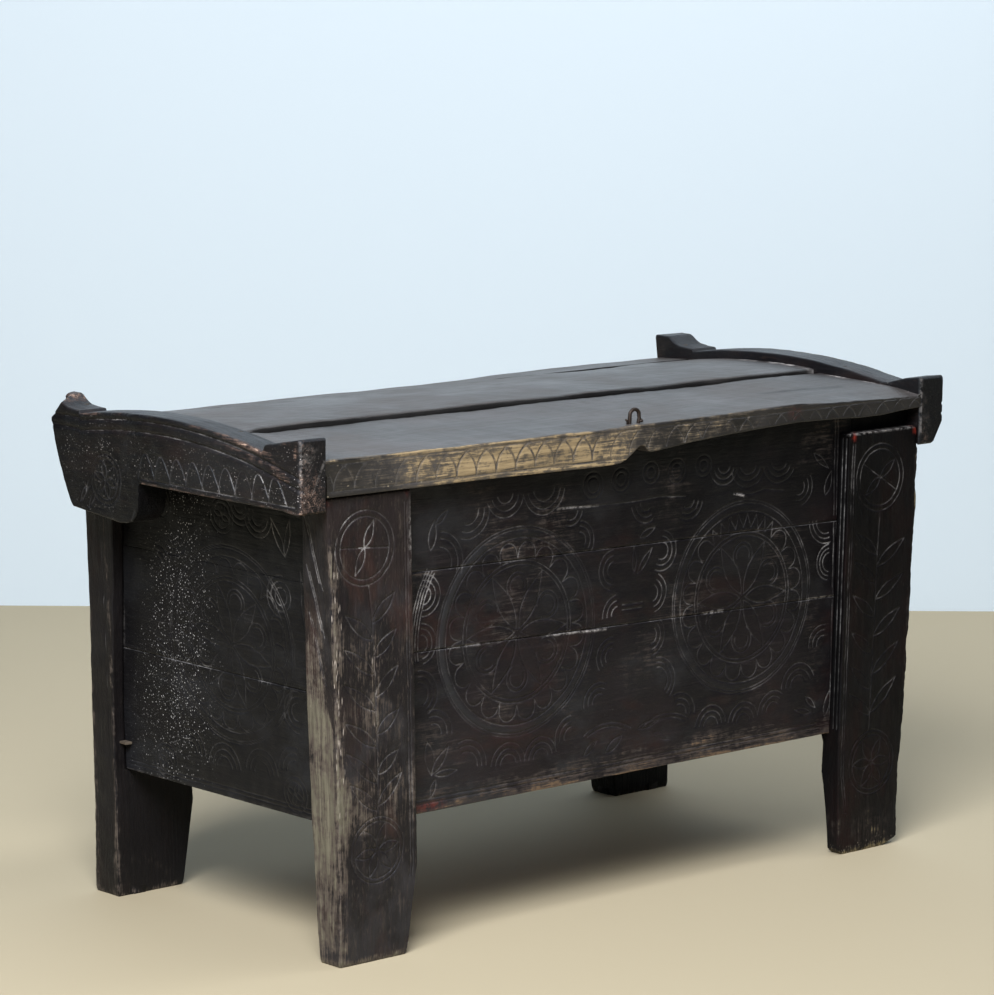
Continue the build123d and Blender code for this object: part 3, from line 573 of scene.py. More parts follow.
def stile_wear(piece, side, seed):
    """The left-hand stile was brushed past for longer, and its flank is rubbed bare; painted shade
    and glints lie on both stiles.
    """
    where = places(piece)
    x, y, z = side * where[:, 0], where[:, 1], where[:, 2]
    patch = unevenness(where, 110.0, seed)
    to_outer = stile_outer(z) - x
    to_front = y - FRONT_STILE_FACE
    on_front = near(to_front, 0, 5)
    behind = np.clip((to_front - 3) / 8, 0, 1)
    flank = near(to_outer, 0, 7) * behind
    sole = near(z, 0, 14) ** 1.5
    shoulder = near(z, SHOULDER, 3.5) * near(to_front, 0, 9)
    ring_x, ring_z = LEFT_RING if side < 0 else RIGHT_RING
    in_ring = np.hypot(x - ring_x, z - ring_z)
    if side < 0:
        down = np.clip((575 - z) / 60, 0, 1)
        arris = near(to_outer, 5, 13) * on_front
        stem = on_front * near(x, 474, 11) * near(z, 350, 150)
        wear = 0.33 * down * arris * np.clip(0.9 + 0.5 * patch, 0.2, 1.4)
        wear += 0.48 * down * near(to_outer, 0, 5) * near(to_front, 0, 6)
        rear_part = np.clip((to_front - np.interp(z, [300, 345], [0, 17])) / 7, 0.12, 1)
        mottled = np.clip(0.90 + 0.34 * unevenness(where, 52.0, seed + 3), 0.3, 1.15)
        wear += flank * rear_part * mottled * np.interp(
            z, [0, 50, 150, 300, 345, 385, 420, 450, 500, 646],
            [.40, .64, .90, .88, .70, .42, .25, .13, .05, .02])
        wear += 0.14 * stem * np.clip(1 + patch, 0, 2)
        wear += 0.17 * on_front * near(x, stile_inner(z), 14) * near(z, 230, 160)
        wear += 0.34 * on_front * near(x, 512, 44) * near(z, 200, 62) + 0.6 * sole + 0.2 * shoulder
        wear += 0.20 * on_front * near(z, 290, 210) * np.clip(0.7 + 0.9 * patch, 0, 2)
        # Painted shade, with some grime: the stile darkens about its head and its foot, and its
        # flank towards the top.
        soot = 0.35 * near(z, 560, 150) * on_front + 0.35 * near(z, 20, 90)
        soot += flank * np.interp(z, [400, 480, 646], [0.0, 0.50, 0.70])
        # Pale specks along the arris and the stem: bare fibre and painted glints.
        specks = 0.90 * down * arris * near(z, 390, 330) + 0.46 * stem
        specks += 0.25 * near(z, 0, 26) * on_front + 0.02 * flank
        # Painted glints: the ring's lines are brightest on its upper-left and lower-right arcs.
        swirl = np.cos(np.arctan2(z - ring_z, ring_x - x) - math.radians(135)) ** 2
        lean = math.radians(LEFT_TWIST)
        off_leaf = np.abs((ring_x - x) * math.sin(lean) - (z - ring_z) * math.cos(lean))
        ring = np.where(in_ring > 39, 0.10 + 0.80 * swirl, np.where(off_leaf < 9, 0.85, 0.10))
        lines = np.where(in_ring < 54, ring, np.where(x < 466, 0.42, 0.16))
        beads = np.abs(x - stile_inner(z) - 10) < 7
        lines = np.where(beads, np.interp(z, [120, 250, 330, 600], [.3, .3, .10, .14]), lines)
        lines = np.where(z < 200, 0.12, lines)
        lines = lines + 0.6 * behind * near(z, 520, 170)
        lines = lines * np.clip(1 + 0.5 * patch, 0.3, 1.6)
        tint(piece, "chalk", 0.5 * near(x, 413, 4) * on_front * near(z, 560, 60))
    else:
        wear = 0.35 * near(to_outer, -3, 5) * near(to_front, 0, 5) * np.clip(0.5 + patch, 0, 1)
        wear += 0.95 * sole + 0.24 * near(z, 20, 62) * np.clip(0.7 + patch, 0, 2) + 0.30 * shoulder
        wear += 0.9 * near(z, 510, 30) * near(to_outer, -9, 6)
        wear += 0.24 * near(x, 404, 4) * near(to_front, 0, 4) * near(z, 150, 170)
        # Painted shade: the right-hand stile darkens towards the top, and its inner cheek is darker
        # still.
        soot = np.interp(z, [0, 80, 300, 646], [0.0, 0.15, 0.45, 0.85])
        edge_face = (x < 418) & (to_front > 2.5)
        soot += np.where(edge_face, 0.6, 0.0)
        specks = 0.06 * on_front + 0.5 * near(z, 0, 24)
        # Painted glints: the pale lines are brighter on the outer half, on the ring's upper-left
        # arc, on the beads and on the inner cheek's two lines.
        lines = np.where(x > 474, 0.30, 0.10)
        swirl = np.cos(np.arctan2(z - ring_z, x - ring_x) - math.radians(140)) ** 2
        lines = np.where(in_ring < 53, 0.08 + 0.50 * swirl, lines)
        lines = np.where(z < 185, 0.07, lines) * np.clip(1 + 0.6 * patch, 0.3, 1.7)
        beads = np.abs(x - stile_inner(z) - 10) < 7
        lines = np.where(beads, np.interp(z, [60, 250, 600], [.14, .26, .36]), lines)
        lines = np.where(edge_face, np.interp(z, [150, 330, 600], [0.10, 0.30, 0.42]), lines)
        # A painted highlight along the shoulder.
        tint(piece, "chalk", 0.35 * shoulder)
    ends = near(x, BOARD_END - 17, 6) + near(x, stile_outer(z) - 3, 8)
    ends = ends * near(z, SHOULDER - 4, 9) * near(to_front, 2, 9)
    tint_all(piece, wear=wear, soot=soot, specks=specks, lines=lines,
             paint=(0.15 if side < 0 else 1.0) * ends)


def twisted_ring(x, z, lean):
    """A double ring with two leaves that spin from its middle."""
    marks = [circle(x, z, 49.0), circle(x, z, 41.0)]
    for turn in (lean, lean + 180.0):
        angle = math.radians(turn)
        marks += leaf(x, z, x + 38 * math.cos(angle), z + 38 * math.sin(angle), 12.0)
    across = math.radians(lean - 70.0)
    reach_x, reach_z = 40 * math.cos(across), 40 * math.sin(across)
    marks.append(stroke((x - reach_x, z - reach_z), (x + reach_x, z + reach_z)))
    return marks


def leafy_stem(stem, outer_tips, inner_tips, width):
    """A stem with leaves; each tip is given with the height at which its leaf springs."""
    stem = np.array(stem, float)
    heights, offsets = stem[::-1, 1], stem[::-1, 0]
    marks = [stem]
    for root_z, tip_x, tip_z in outer_tips + inner_tips:
        root_x = np.interp(root_z, heights, offsets)
        marks += leaf(root_x, root_z, tip_x, tip_z, width)
    return marks


def inner_beads(side, low, high):
    """Two lines that run down along a stile's inner edge."""
    heights = np.linspace(low, high, 30)
    return [np.stack([side * (stile_inner(heights) + inset), heights], axis=-1)
            for inset in (7.5, 12.0)]


LEFT_STAR, RIGHT_STAR = (-468.0, 148.0), (470.0, 130.0)
left_marks = twisted_ring(-LEFT_RING[0], LEFT_RING[1], LEFT_TWIST)
left_marks += inner_beads(-1, 105.0, 600.0)
left_marks += leafy_stem(
    [(-483, 497), (-477, 450), (-474, 400), (-471, 340), (-468, 280), (-467, 196)],
    [(448, -439, 484), (402, -437, 436), (350, -434, 388), (300, -432, 330), (248, -431, 276),
     (206, -427, 245)],
    [(426, -522, 462), (380, -523, 418), (332, -523, 372), (284, -522, 322), (236, -520, 282),
     (200, -514, 240)], 15.0)
left_marks += [circle(*LEFT_STAR, 44.0), circle(*LEFT_STAR, 38.0)]
left_marks += petals(*LEFT_STAR, 37.0, 6, 13.0, 10.0)
left_cuts = on_face(left_marks, at_y(FRONT_STILE_FACE))
for step in range(3):
    top = 588.0 - 62.0 * step
    for slip in (0.0, 6.0):
        run = np.linspace(0, 1, 8)
        zigzag_y = -216.0 - slip - 24.0 * run
        zigzag_z = top - 1.5 * slip - 84.0 * run
        left_cuts.append(np.column_stack([-stile_outer(zigzag_z), zigzag_y, zigzag_z]))

right_marks = twisted_ring(*RIGHT_RING, RIGHT_TWIST) + inner_beads(1, 60.0, 600.0)
right_marks += leafy_stem(
    [(479, 498), (473, 420), (471, 340), (467, 270), (464, 178)],
    [(418, 531, 454), (370, 528, 402), (316, 524, 352), (260, 522, 302), (204, 519, 250)],
    [(436, 430, 470), (394, 427, 430), (344, 425, 380), (290, 424, 326), (238, 424, 276),
     (200, 421, 236)], 15.0)
right_marks += [circle(*RIGHT_STAR, 47.0), circle(*RIGHT_STAR, 40.0)]
right_marks += petals(*RIGHT_STAR, 39.0, 6, 14.0, 0.0)
right_cuts = on_face(right_marks, at_y(FRONT_STILE_FACE))
# Two scratched lines run down the edge that stands proud of the boards.
heights = np.linspace(186.0, 608.0, 40)
for depth in (-257.5, -250.5):
    right_cuts.append(np.column_stack([right_inner(heights), np.full(40, depth), heights]))
for side, cuts, seed in ((-1, left_cuts, 11), (1, right_cuts, 12)):
    stile = front_stile(side, seed)
    stile_wear(stile, side, seed)
    carve(stile, cuts, STILE_WOOD if side < 0 else SHADED_STILE_WOOD)
    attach(stile, "carcass")
    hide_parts("stile_front_" + SIDES[side])

# ------------------------------------------------------------------------------------------
# REAR STILES.  The same plank legs at the back, plain.  Their heads are left thick and are
# rounded about the wooden pin that the lid swings on.
# ------------------------------------------------------------------------------------------
PIN_Y = 206.0
PIN_Z = 584.0
HEAD_RADIUS = 58.0
BACK_INNER = 234.0


def rear_stile(side, seed):
    """side is 1 for the right-hand stile and -1 for the left-hand one."""
    rings = []
    head = PIN_Z + HEAD_RADIUS * np.sin(np.linspace(0, math.pi / 2, 22))
    heights = levels([0.0, 2.0, 8.0, ANKLE, BOARD_LOW - 0.3, BOARD_LOW + 0.3, 270.0, 540.0, 566.0,
                      PIN_Z], 4.0)
    heights += head[1:-1].tolist()
    for z in heights:
        inner, outer = float(stile_inner(z)), float(stile_outer(z))
        front = np.interp(z, [0, ANKLE, BOARD_LOW, 270, 540, 566],
                          [218, 218, 222, 222, 203, 190])
        back = np.interp(z, [270, 540], [272, 264])
        if z > PIN_Z:
            back = PIN_Y + math.sqrt(max(HEAD_RADIUS ** 2 - (z - PIN_Z) ** 2, 0.0))
        stopped = z < BOARD_LOW
        slot_end = inner if stopped else BOARD_END
        slot_back = min(BACK_INNER + BOARD_THICK, back - 0.6)
        slot_front = min(BACK_INNER, slot_back - 0.3)
        end_face = end_wall(z)
        end_back = end_face - END_BOARD_THICK
        end_slot = front if stopped else min(END_FINISH, back - 0.5)
        toe = 1.5 * max(0.0, 1 - z / 10.0) ** 2
        corners = [
            (inner + toe, front + toe), (end_back, front + toe), (end_back, end_slot),
            (end_face, end_slot), (end_face, front + toe), (outer - toe, front + toe),
            (outer - toe, back - toe), (inner + toe, back - toe),
            (inner + toe, slot_back), (slot_end, slot_back), (slot_end, slot_front),
            (inner + toe, slot_front)]
        steps = [12, 2, 2, 2, 4, 14, 34, 4, 2, 2, 2, 4]
        soft = [2.0, None, None, None, None, 2.6, 3.4, 2.2, None, None, None, None]
        plan = section(corners, steps, soft)
        rings.append(ring_at_height(plan, z, side))
    piece = skin("rear_stile_" + SIDES[side], rings)
    where = places(piece)
    hewn = adzed(where, seed, (0.5, 60.0), (0.3, 22.0))
    outside = np.where(np.abs(where[:, 0]) > stile_outer(where[:, 2]) - 6, 1.0, 0.0)
    calm = np.clip((PIN_Z - 30 - where[:, 2]) / 40, 0.1, 1)
    where[:, 0] -= side * (hewn + 0.4) * outside * calm
    shift(piece, where)
    return piece


for side, seed in ((-1, 21), (1, 22)):
    stile = rear_stile(side, seed)
    where = places(stile)
    x, y, z = side * where[:, 0], where[:, 1], where[:, 2]
    arris = near(stile_outer(z) - x, 0, 8)
    wear = 0.25 * arris * near(y, 272, 16) + 0.20 * arris * near(y, 222, 8)
    wear += 0.10 * np.clip(1 - z / 200.0, 0, 1) + 0.30 * near(z, 0, 12) ** 2
    # Painted shade: the rear stiles are nearly black, and the cheek that faces forward is darkest.
    cheek = (y < 227) & (x < 512)
    tint_all(stile, wear=wear, soot=np.where(cheek, 1.0, 0.92), lines=np.full(len(x), 0.22))
    heights = np.linspace(170.0, 560.0, 40)
    bead = np.column_stack([side * stile_outer(heights), np.full(40, 232.0), heights])
    carve(stile, [bead], STILE_WOOD if side < 0 else SHADED_STILE_WOOD, depth=0.6, half_width=2.2)
    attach(stile, "carcass")
    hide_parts("stile_rear_" + SIDES[side])

# ------------------------------------------------------------------------------------------
# FRONT BOARDS.  Three riven boards on edge, tongued into each other and housed in the stiles.
# Two great rosettes cross all three, with rainbow arcs all round them, struck with compasses
# and cut with a veiner; dust has settled in the cuts.
# Painted glints lie on some cuts, and painted shade darkens the boards to the right and upwards.
# ------------------------------------------------------------------------------------------
LEVELS = ("lower", "middle", "upper")
HIGHEST_EDGE = 641.0
LOWER_SEAM = (396.0, 378.0)
UPPER_SEAM = (502.0, 488.0)
FRONT_WOOD = old_wood("front_oak", (0.0088, 0.0074, 0.0096), (0.0175, 0.0130, 0.0146),
                      (0.054, 0.044, 0.041), (0.19, 0.130, 0.085), grain="X", gloss=0.42,
                      sheen=0.22, film=(0.031, 0.0312, 0.0350), russet=(0.030, 0.0150, 0.0140),
                      scuffs=0.26)


def rainbow(x, z, radii, start, finish):
    """Arcs inside each other, like a rainbow."""
    return [arc(x, z, radius, start, finish) for radius in radii]


def scallops(x, z, inner, outer, count, skip=()):
    """Half-round bites that stand in a ring."""
    marks = []
    rise = outer - inner
    for number in range(count):
        if number in skip:
            continue
        angle = 2 * math.pi * (number + 0.5) / count
        half = math.pi / count
        t = np.linspace(-1, 1, 13)
        radius = inner + rise * np.sqrt(np.clip(1 - t ** 2, 0, 1))
        marks.append(np.stack([x + radius * np.cos(angle + half * t),
                               z + radius * np.sin(angle + half * t)], axis=-1))
    return marks


def teeth(x, z, inner, outer, count, start, finish):
    """Zigzag teeth along part of a ring."""
    turn = np.radians(np.linspace(start, finish, 2 * count + 1))
    radius = np.where(np.arange(2 * count + 1) % 2 == 0, inner, outer)
    return [np.stack([x + radius * np.cos(turn), z + radius * np.sin(turn)], axis=-1)]


LEFT_ROSE = (-207.0, 401.0)
RIGHT_ROSE = (219.0, 399.0)


def rosette(x, z, size, petal_turn):
    """A wheel of six petals in a double ring, with a broken loop between each two."""
    marks = [circle(x, z, size), circle(x, z, size - 4.0), circle(x, z, size - 15.0)]
    marks += [circle(x, z, size * 0.68), circle(x, z, size * 0.64)]
    marks += petals(x, z, size * 0.63, 6, 24.0, petal_turn)
    for number in range(6):
        angle = math.radians(petal_turn + 30 + 60 * number)
        loop_x, loop_z = x + size * 0.44 * math.cos(angle), z + size * 0.44 * math.sin(angle)
        start = petal_turn + 30 + 60 * number
        marks += [arc(loop_x, loop_z, 19.0, start - 150, start + 150)]
        marks += [arc(loop_x, loop_z, 13.0, start - 110, start + 110)]
    return marks


THREE = (12.0, 20.0, 28.0)
BROAD = (14.0, 22.0, 30.0)
WIDE = (16.0, 25.0, 34.0)
front_marks = rosette(*LEFT_ROSE, 142.0, 0.0) + scallops(*LEFT_ROSE, 100.0, 122.0, 20)
front_marks += rainbow(*LEFT_ROSE, (175.0, 179.5, 184.0, 188.5), 147.0, 186.0)
front_marks += rosette(*RIGHT_ROSE, 137.0, 0.0)
front_marks += scallops(*RIGHT_ROSE, 97.0, 118.0, 20, skip=(3, 4, 5, 6))
front_marks += teeth(*RIGHT_ROSE, 99.0, 118.0, 8, 55.0, 125.0)
# Rainbows from the left end to the right, first above the rosettes, then beside and below.
for x, z, radii, start, finish in (
        (-346, 508, (22, 33, 42), -25, 85), (-295, 572, (18, 28, 37), -110, 5),
        (-230, 590, (14, 24, 33), 200, 350), (-160, 592, (20, 30, 38), 195, 350),
        (-95, 512, (12, 20, 27), -35, 85), (-112, 556, (14, 22), 250, 350),
        (30, 552, THREE, 190, 300), (110, 548, THREE, 240, 350), (180, 590, THREE, 200, 340),
        (228, 588, WIDE, 200, 340), (290, 588, WIDE, 200, 330), (330, 545, THREE, -100, 30),
        (388, 492, (20, 27, 34), 180, 285), (396, 430, (14, 20, 26), 95, 262),
        (-372, 469, THREE, -95, 92), (-377, 405, (12, 20, 27), -80, 85),
        (-380, 338, (16, 24, 32), -60, 92), (-355, 282, (14, 24, 33), -5, 105),
        (-30, 465, THREE, 95, 255), (-22, 402, THREE, 98, 185), (-33, 345, THREE, 85, 215),
        (60, 482, THREE, -115, 80), (42, 425, THREE, -75, 62), (40, 366, THREE, -80, 45),
        (54, 300, (20, 27, 34), -45, 92), (385, 312, THREE, 80, 190),
        (-297, 230, (20, 28, 36), -5, 112), (-222, 222, BROAD, 5, 178),
        (-163, 222, BROAD, 10, 178), (-106, 244, BROAD, 95, 195),
        (-56, 285, THREE, 62, 190), (98, 248, BROAD, -5, 110),
        (160, 222, BROAD, 5, 175), (225, 218, BROAD, 10, 172),
        (285, 226, BROAD, 50, 180), (336, 256, (16, 25, 34), 20, 180)):
    front_marks += rainbow(x, z, radii, start, finish)
# Leaves in the corners and between the rosettes.
for root_x, root_z, tip_x, tip_z, width in (
        (-361, 527, -353, 566, 13), (-352, 560, -331, 577, 8), (-365, 272, -357, 226, 15),
        (-357, 228, -328, 262, 12), (-352, 226, -312, 228, 9), (-350, 220, -360, 196, 8),
        (14, 455, 42, 488, 9), (8, 458, 7, 492, 8), (18, 505, 48, 516, 9), (-42, 212, -12, 233, 12),
        (-82, 214, -58, 232, 9), (18, 238, 60, 244, 9), (50, 228, 78, 214, 8),
        (385, 528, 398, 562, 12), (360, 590, 392, 566, 9), (392, 204, 402, 242, 11),
        (352, 238, 372, 220, 8), (362, 214, 330, 222, 8)):
    front_marks += leaf(root_x, root_z, tip_x, tip_z, width)
for x, z, radius in ((-70, 585, 18), (-18, 588, 16), (38, 592, 15), (88, 590, 17), (140, 592, 15)):
    front_marks += [circle(x, z, radius), circle(x, z, radius - 7)]
for x, z in ((-40, 170), (72, 168)):
    front_marks += [arc(x, z, 78, 62, 118), arc(x, z, 84, 58, 122)]
for z in (408.0, 415.0):
    front_marks.append(stroke((-14, z), (24, z - 0.6)))
for z in (190.0, 196.0):
    front_marks.append(stroke((-405, z), (405, z)))
for left_z, right_z in (LOWER_SEAM, UPPER_SEAM):
    front_marks.append(stroke((-BOARD_END, left_z), (BOARD_END, right_z)))
for low, high in ((200, 374), (384, 486), (497, 640)):
    for x in (403.5, 409.5):
        front_marks.append(stroke((x, low), (x, high)))
front_cuts = on_face(front_marks, at_y(BOARD_FACE))
# Splits in the upper board, along the grain.
front_cuts += on_face(
    [stroke((-120, 560), (-60, 556), (-10, 555), (60, 557), (105, 553)),
     stroke((200, 549), (238, 544), (262, 548), (300, 543))], at_y(BOARD_FACE))


BOARD_STEPS = [3, 2, 2, 2, 2, 8, 2, 2, 2, 2, 3]


def board_corners(low, high, tongue, groove, gap, sink=0.0):
    """A board's section as (depth, height), with a groove above and a tongue below."""
    return [(sink, low + gap), (sink, high - gap), (6.6, high), (6.6, high - groove),
            (13.4, high - groove), (13.4, high), (BOARD_THICK, high), (BOARD_THICK, low),
            (13.0, low), (13.0, low - tongue), (7.0, low - tongue), (7.0, low)]


def wall_board(name, face, ends, low, high, step, seed, turn=1.0):
    """A board on edge with its tongue and groove; turn is -1 where its face is at the back."""
    rings = []
    start, finish = ends
    for x in levels([start, start + 0.6, finish - 0.6, finish], step):
        share = (x - start) / (finish - start)
        bottom = low[0] + (low[1] - low[0]) * share
        top = high[0] + (high[1] - high[0]) * share
        tongue = 7.0 if low[0] > BOARD_LOW else 0.0
        groove = 7.4 if high[0] < HIGHEST_EDGE else 0.0
        gap = 0.12 * (1.5 + unevenness(np.array([x, 3.0]), 60.0, seed + 5))
        sink = 0.5 if share in (0.0, 1.0) else 0.0
        corners = board_corners(bottom, top, tongue, groove, gap, sink)
        tall = max(6, int((high[0] - low[0]) / step))
        cut = section(corners, [tall] + BOARD_STEPS, [1.1, 1.1] + [None] * 10)
        rings.append(np.column_stack([np.full(len(cut), x), face + turn * cut[:, 0], cut[:, 1]]))
    piece = skin(name, rings)
    where = places(piece)
    hewn = adzed(where, seed, (0.5, 90.0), (0.28, 26.0))
    where[:, 1] += (hewn + 0.2) * near(where[:, 1], face, 6)
    shift(piece, where)
    return piece


# Where the pale lines in the cuts are brightest, as dust and painted glints, and where a painted
# highlight shows along a seam or split.
BRIGHT_CUTS = (
    (-372, 469, 42, 0.75), (-384, 450, 46, 0.80), (-377, 405, 34, 0.30),
    (-358, 545, 26, 0.35), (-295, 560, 40, 0.18),
    (-200, 585, 70, 0.14), (44, 425, 42, 0.50), (60, 482, 40, 0.22), (-28, 402, 30, 0.40),
    (-30, 465, 40, 0.20), (330, 470, 44, 0.45), (300, 500, 40, 0.28), (392, 440, 40, 0.25),
    (385, 545, 30, 0.25), (404, 245, 48, 0.75), (404, 450, 60, 0.35),
    (-150, 470, 50, 0.12), (-300, 400, 40, 0.14),
    (-56, 285, 34, 0.16), (-355, 240, 36, 0.14), (250, 340, 60, 0.10), (160, 225, 36, 0.16))
SEAM_HIGHLIGHTS = ((-152, 388.9, -44, 384.6, 1.0), (-330, 393.6, -250, 391.8, 0.4),
                  (140, 384.4, 182, 383.6, 1.0), (352, 380.4, 410, 379.4, 0.7),
                  (200, 547.6, 226, 541.6, 1.0), (-142, 560.0, -60, 556.4, 0.6))


def seam_height(ends, x):
    """Height at x of an edge that runs from one end's height to the other's."""
    return ends[0] + (ends[1] - ends[0]) * (x + BOARD_END) / (2 * BOARD_END)


def seam_highlights(x, z):
    """How strong the painted highlight is along the seams' and splits' edges."""
    total = np.zeros(len(x))
    for x0, z0, x1, z1, strength in SEAM_HIGHLIGHTS:
        share = np.clip((x - x0) / (x1 - x0), 0, 1)
        away = np.hypot(x - (x0 + (x1 - x0) * share), z - (z0 + (z1 - z0) * share))
        total += strength * near(away, 0, 1.9) * (0.45 + 0.55 * np.sin(math.pi * share))
    return total


EDGES = ((BOARD_LOW, BOARD_LOW), LOWER_SEAM, UPPER_SEAM, (LID_UNDERSIDE, LID_UNDERSIDE))
for number, level in enumerate(LEVELS):
    low, high = EDGES[number], EDGES[number + 1]
    board = wall_board("front_board_skin_" + level, BOARD_FACE, (-BOARD_END, BOARD_END), low, high,
                       1.6, 31 + number)
    where = places(board)
    x, y, z = where.T
    bottom_edge = seam_height(low, x)
    patch = unevenness(where, 150.0, 40 + number)
    wear = 0.05 + 0.07 * patch + np.interp(x, [-437, 437], [0.05, 0.0])
    low_edge = np.interp(z, [178, 186, 196, 215], [0.45, 0.30, 0.22, 0.0])
    wear += low_edge * np.clip(1 + 0.6 * patch, 0.3, 2)
    wear += 0.18 * near(z, bottom_edge, 3.0) * near(y, BOARD_FACE, 4)
    tint(board, "wear", wear * near(y, BOARD_FACE, 12))
    tint(board, "paint", 0.45 * near(z, 186, 8) * near(x, -362, 34) * near(y, BOARD_FACE, 8))
    # Painted shade: the boards darken to the right, away from the light, and towards the top.
    painted_shade = np.interp(x, [-437, -250, 0, 437], [0.10, 0.26, 0.46, 0.70])
    painted_shade = painted_shade * np.interp(z, [178, 300, 480, 646], [0.3, 0.6, 1.3, 2.0])
    tint(board, "soot", painted_shade * (1 + 0.25 * patch))
    ring_left, ring_right = (np.hypot(x - rose_x, z - rose_z)
                             for rose_x, rose_z in (LEFT_ROSE, RIGHT_ROSE))
    bloom = near(ring_left, 134, 9) * np.interp(x, [-350, -150, 0], [0.95, 0.25, 0.10])
    bloom += 0.30 * near(ring_right, 129, 9)
    bloom += 0.55 * near(x, -350, 110) * near(z, 240, 80)
    bloom += 0.30 * near(x, -400, 60) * near(z, 500, 14)
    bloom += 0.35 * near(x, -60, 260) * near(z, 300, 110) * np.clip(0.6 + patch, 0, 1.6)
    tint(board, "bloom", bloom)
    # Pale lines in the cuts: dust, with painted glints, and painted highlights along the seams and
    # the beads at the right-hand end.
    lines = 0.17 + 0.10 * patch + spots(x, z, BRIGHT_CUTS)
    lines = lines * np.where((x > -85) & (x < 160) & (z > 566), 0.25, 1.0)
    for seam in (LOWER_SEAM, UPPER_SEAM):
        lines = np.maximum(lines, 0.55 * near(z, seam_height(seam, x), 5))
    lines = np.maximum(lines, 0.42 * near(x, 406.5, 7) * (z > 200))
    lines = lines * np.where((ring_left > 118) & (ring_left < 146) & (x > -190), 0.5, 1.0)
    tint(board, "lines", lines * np.where((ring_left < 96) | (ring_right < 92), 0.55, 1.0))
    tint(board, "chalk", near(y, BOARD_FACE, 6) * seam_highlights(x, z))
    carve(board, front_cuts, FRONT_WOOD, depth=0.9)
    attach(board, "carcass")
    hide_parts("front_board_" + level)

# ------------------------------------------------------------------------------------------
# BACK BOARDS.  Three plain boards, hewn and never waxed much, as this side stood to the wall.
# The top edge is rounded so that the lid's heel can swing past it.
# ------------------------------------------------------------------------------------------
BACK_WOOD = old_wood("back_oak", (0.018, 0.013, 0.0105), (0.045, 0.032, 0.022),
                     (0.085, 0.060, 0.040), (0.20, 0.15, 0.09), grain="X", gloss=0.62)
BACK_FACE = 254.0
BACK_SEAMS = (BOARD_LOW, 380.0, 505.0, 642.0)


def head_height(y):
    """Height of the round that the lid's heel swings past."""
    return PIN_Z + np.sqrt(np.maximum(HEAD_RADIUS ** 2 - (y - PIN_Y) ** 2, 0))


for number, level in enumerate(LEVELS):
    low, high = BACK_SEAMS[number], BACK_SEAMS[number + 1]
    board = wall_board("back_board_skin_" + level, BACK_FACE, (-BOARD_END, BOARD_END),
                       (low, low), (high, high), 5.0, 51 + number, turn=-1.0)
    where = places(board)
    x, y, z = where.T
    far = np.hypot(y - PIN_Y, z - PIN_Z)
    out = (z > PIN_Z) & (far > HEAD_RADIUS)
    where[:, 2] = np.where(out, head_height(y), z)
    shift(board, where)
    tint(board, "wear", 0.22 + 0.15 * unevenness(where, 140.0, 60 + number))
    board.data.materials.append(BACK_WOOD)
    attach(board, "carcass")
    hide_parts("back_board_" + level)

# ------------------------------------------------------------------------------------------
# END BOARDS.  Three boards close each end.  They lean out with the stiles, and each end has one
# great rosette with rainbows in its corners, under thick glossy wax whose glints are painted as
# pale specks.
# ------------------------------------------------------------------------------------------
END_WOOD = old_wood("end_oak", (0.0062, 0.0061, 0.0076), (0.0100, 0.0094, 0.0106),
                    (0.044, 0.042, 0.044), (0.14, 0.12, 0.10), grain="Y", gloss=0.36, sheen=0.15,
                    film=(0.0215, 0.0225, 0.0268), scuffs=0.20, flecks=(0.50, 0.50, 0.52),
                    fleck_size=385.0, fleck_turn=(0.6, 0.4, 0.9))
END_ROSE = (-25.0, 212.0)
END_HEIGHTS = (0.0, 173.0, 317.0, 464.4)


def end_point(side, across, up, depth):
    """A point on the end wall: across is Y, up is along the leaning wall, depth is inwards."""
    x = END_BOARD_FACE + up * math.sin(END_LEAN) - depth * math.cos(END_LEAN)
    z = BOARD_LOW + up * math.cos(END_LEAN) + depth * math.sin(END_LEAN)
    return np.stack([side * x, across, z], axis=-1)


end_marks = rosette(*END_ROSE, 134.0, 12.0) + scallops(*END_ROSE, 96.0, 116.0, 19)
for y, up, radii, start, finish in (
        (-134, 292, THREE, -100, 100), (-134, 292, (12.0, 20.0), 118, 242),
        (-160, 142, THREE, -95, 95), (-150, 60, WIDE, 0, 100),
        (-80, 45, WIDE, 5, 175), (0, 40, WIDE, 5, 175), (75, 48, WIDE, 5, 175),
        (118, 90, WIDE, 80, 190), (135, 170, THREE, 80, 260), (132, 300, THREE, 85, 262),
        (96, 352, WIDE, 180, 300), (-92, 392, THREE, 190, 350), (-55, 404, THREE, 190, 350)):
    end_marks += rainbow(y, up, radii, start, finish)
for y, up in ((-14, 384), (120, 392), (-150, 30), (130, 28)):
    end_marks += [circle(y, up, 24.0), circle(y, up, 17.0)] + petals(y, up, 17.0, 4, 8.0, 20.0)
for up in (9.0, 15.0):
    end_marks.append(stroke((-205, up), (212, up)))
end_marks.append(stroke((END_START, END_HEIGHTS[1]), (END_FINISH, END_HEIGHTS[1])))
end_marks += leaf(-146, 346, -118, 394, 11.0) + leaf(-146, 346, -158, 396, 10.0)
end_marks += leaf(-186, 250, -176, 330, 9.0) + leaf(-186, 250, -200, 326, 9.0)
BRIGHT_END_CUTS = (
    (-138, 550, 40, 1.00), (-134, 470, 34, 0.50), (-60, 476, 48, 0.16), (150, 460, 34, 0.25),
    (-135, 322, 30, 0.22), (-30, 250, 60, 0.10), (-188, 480, 40, 0.40))
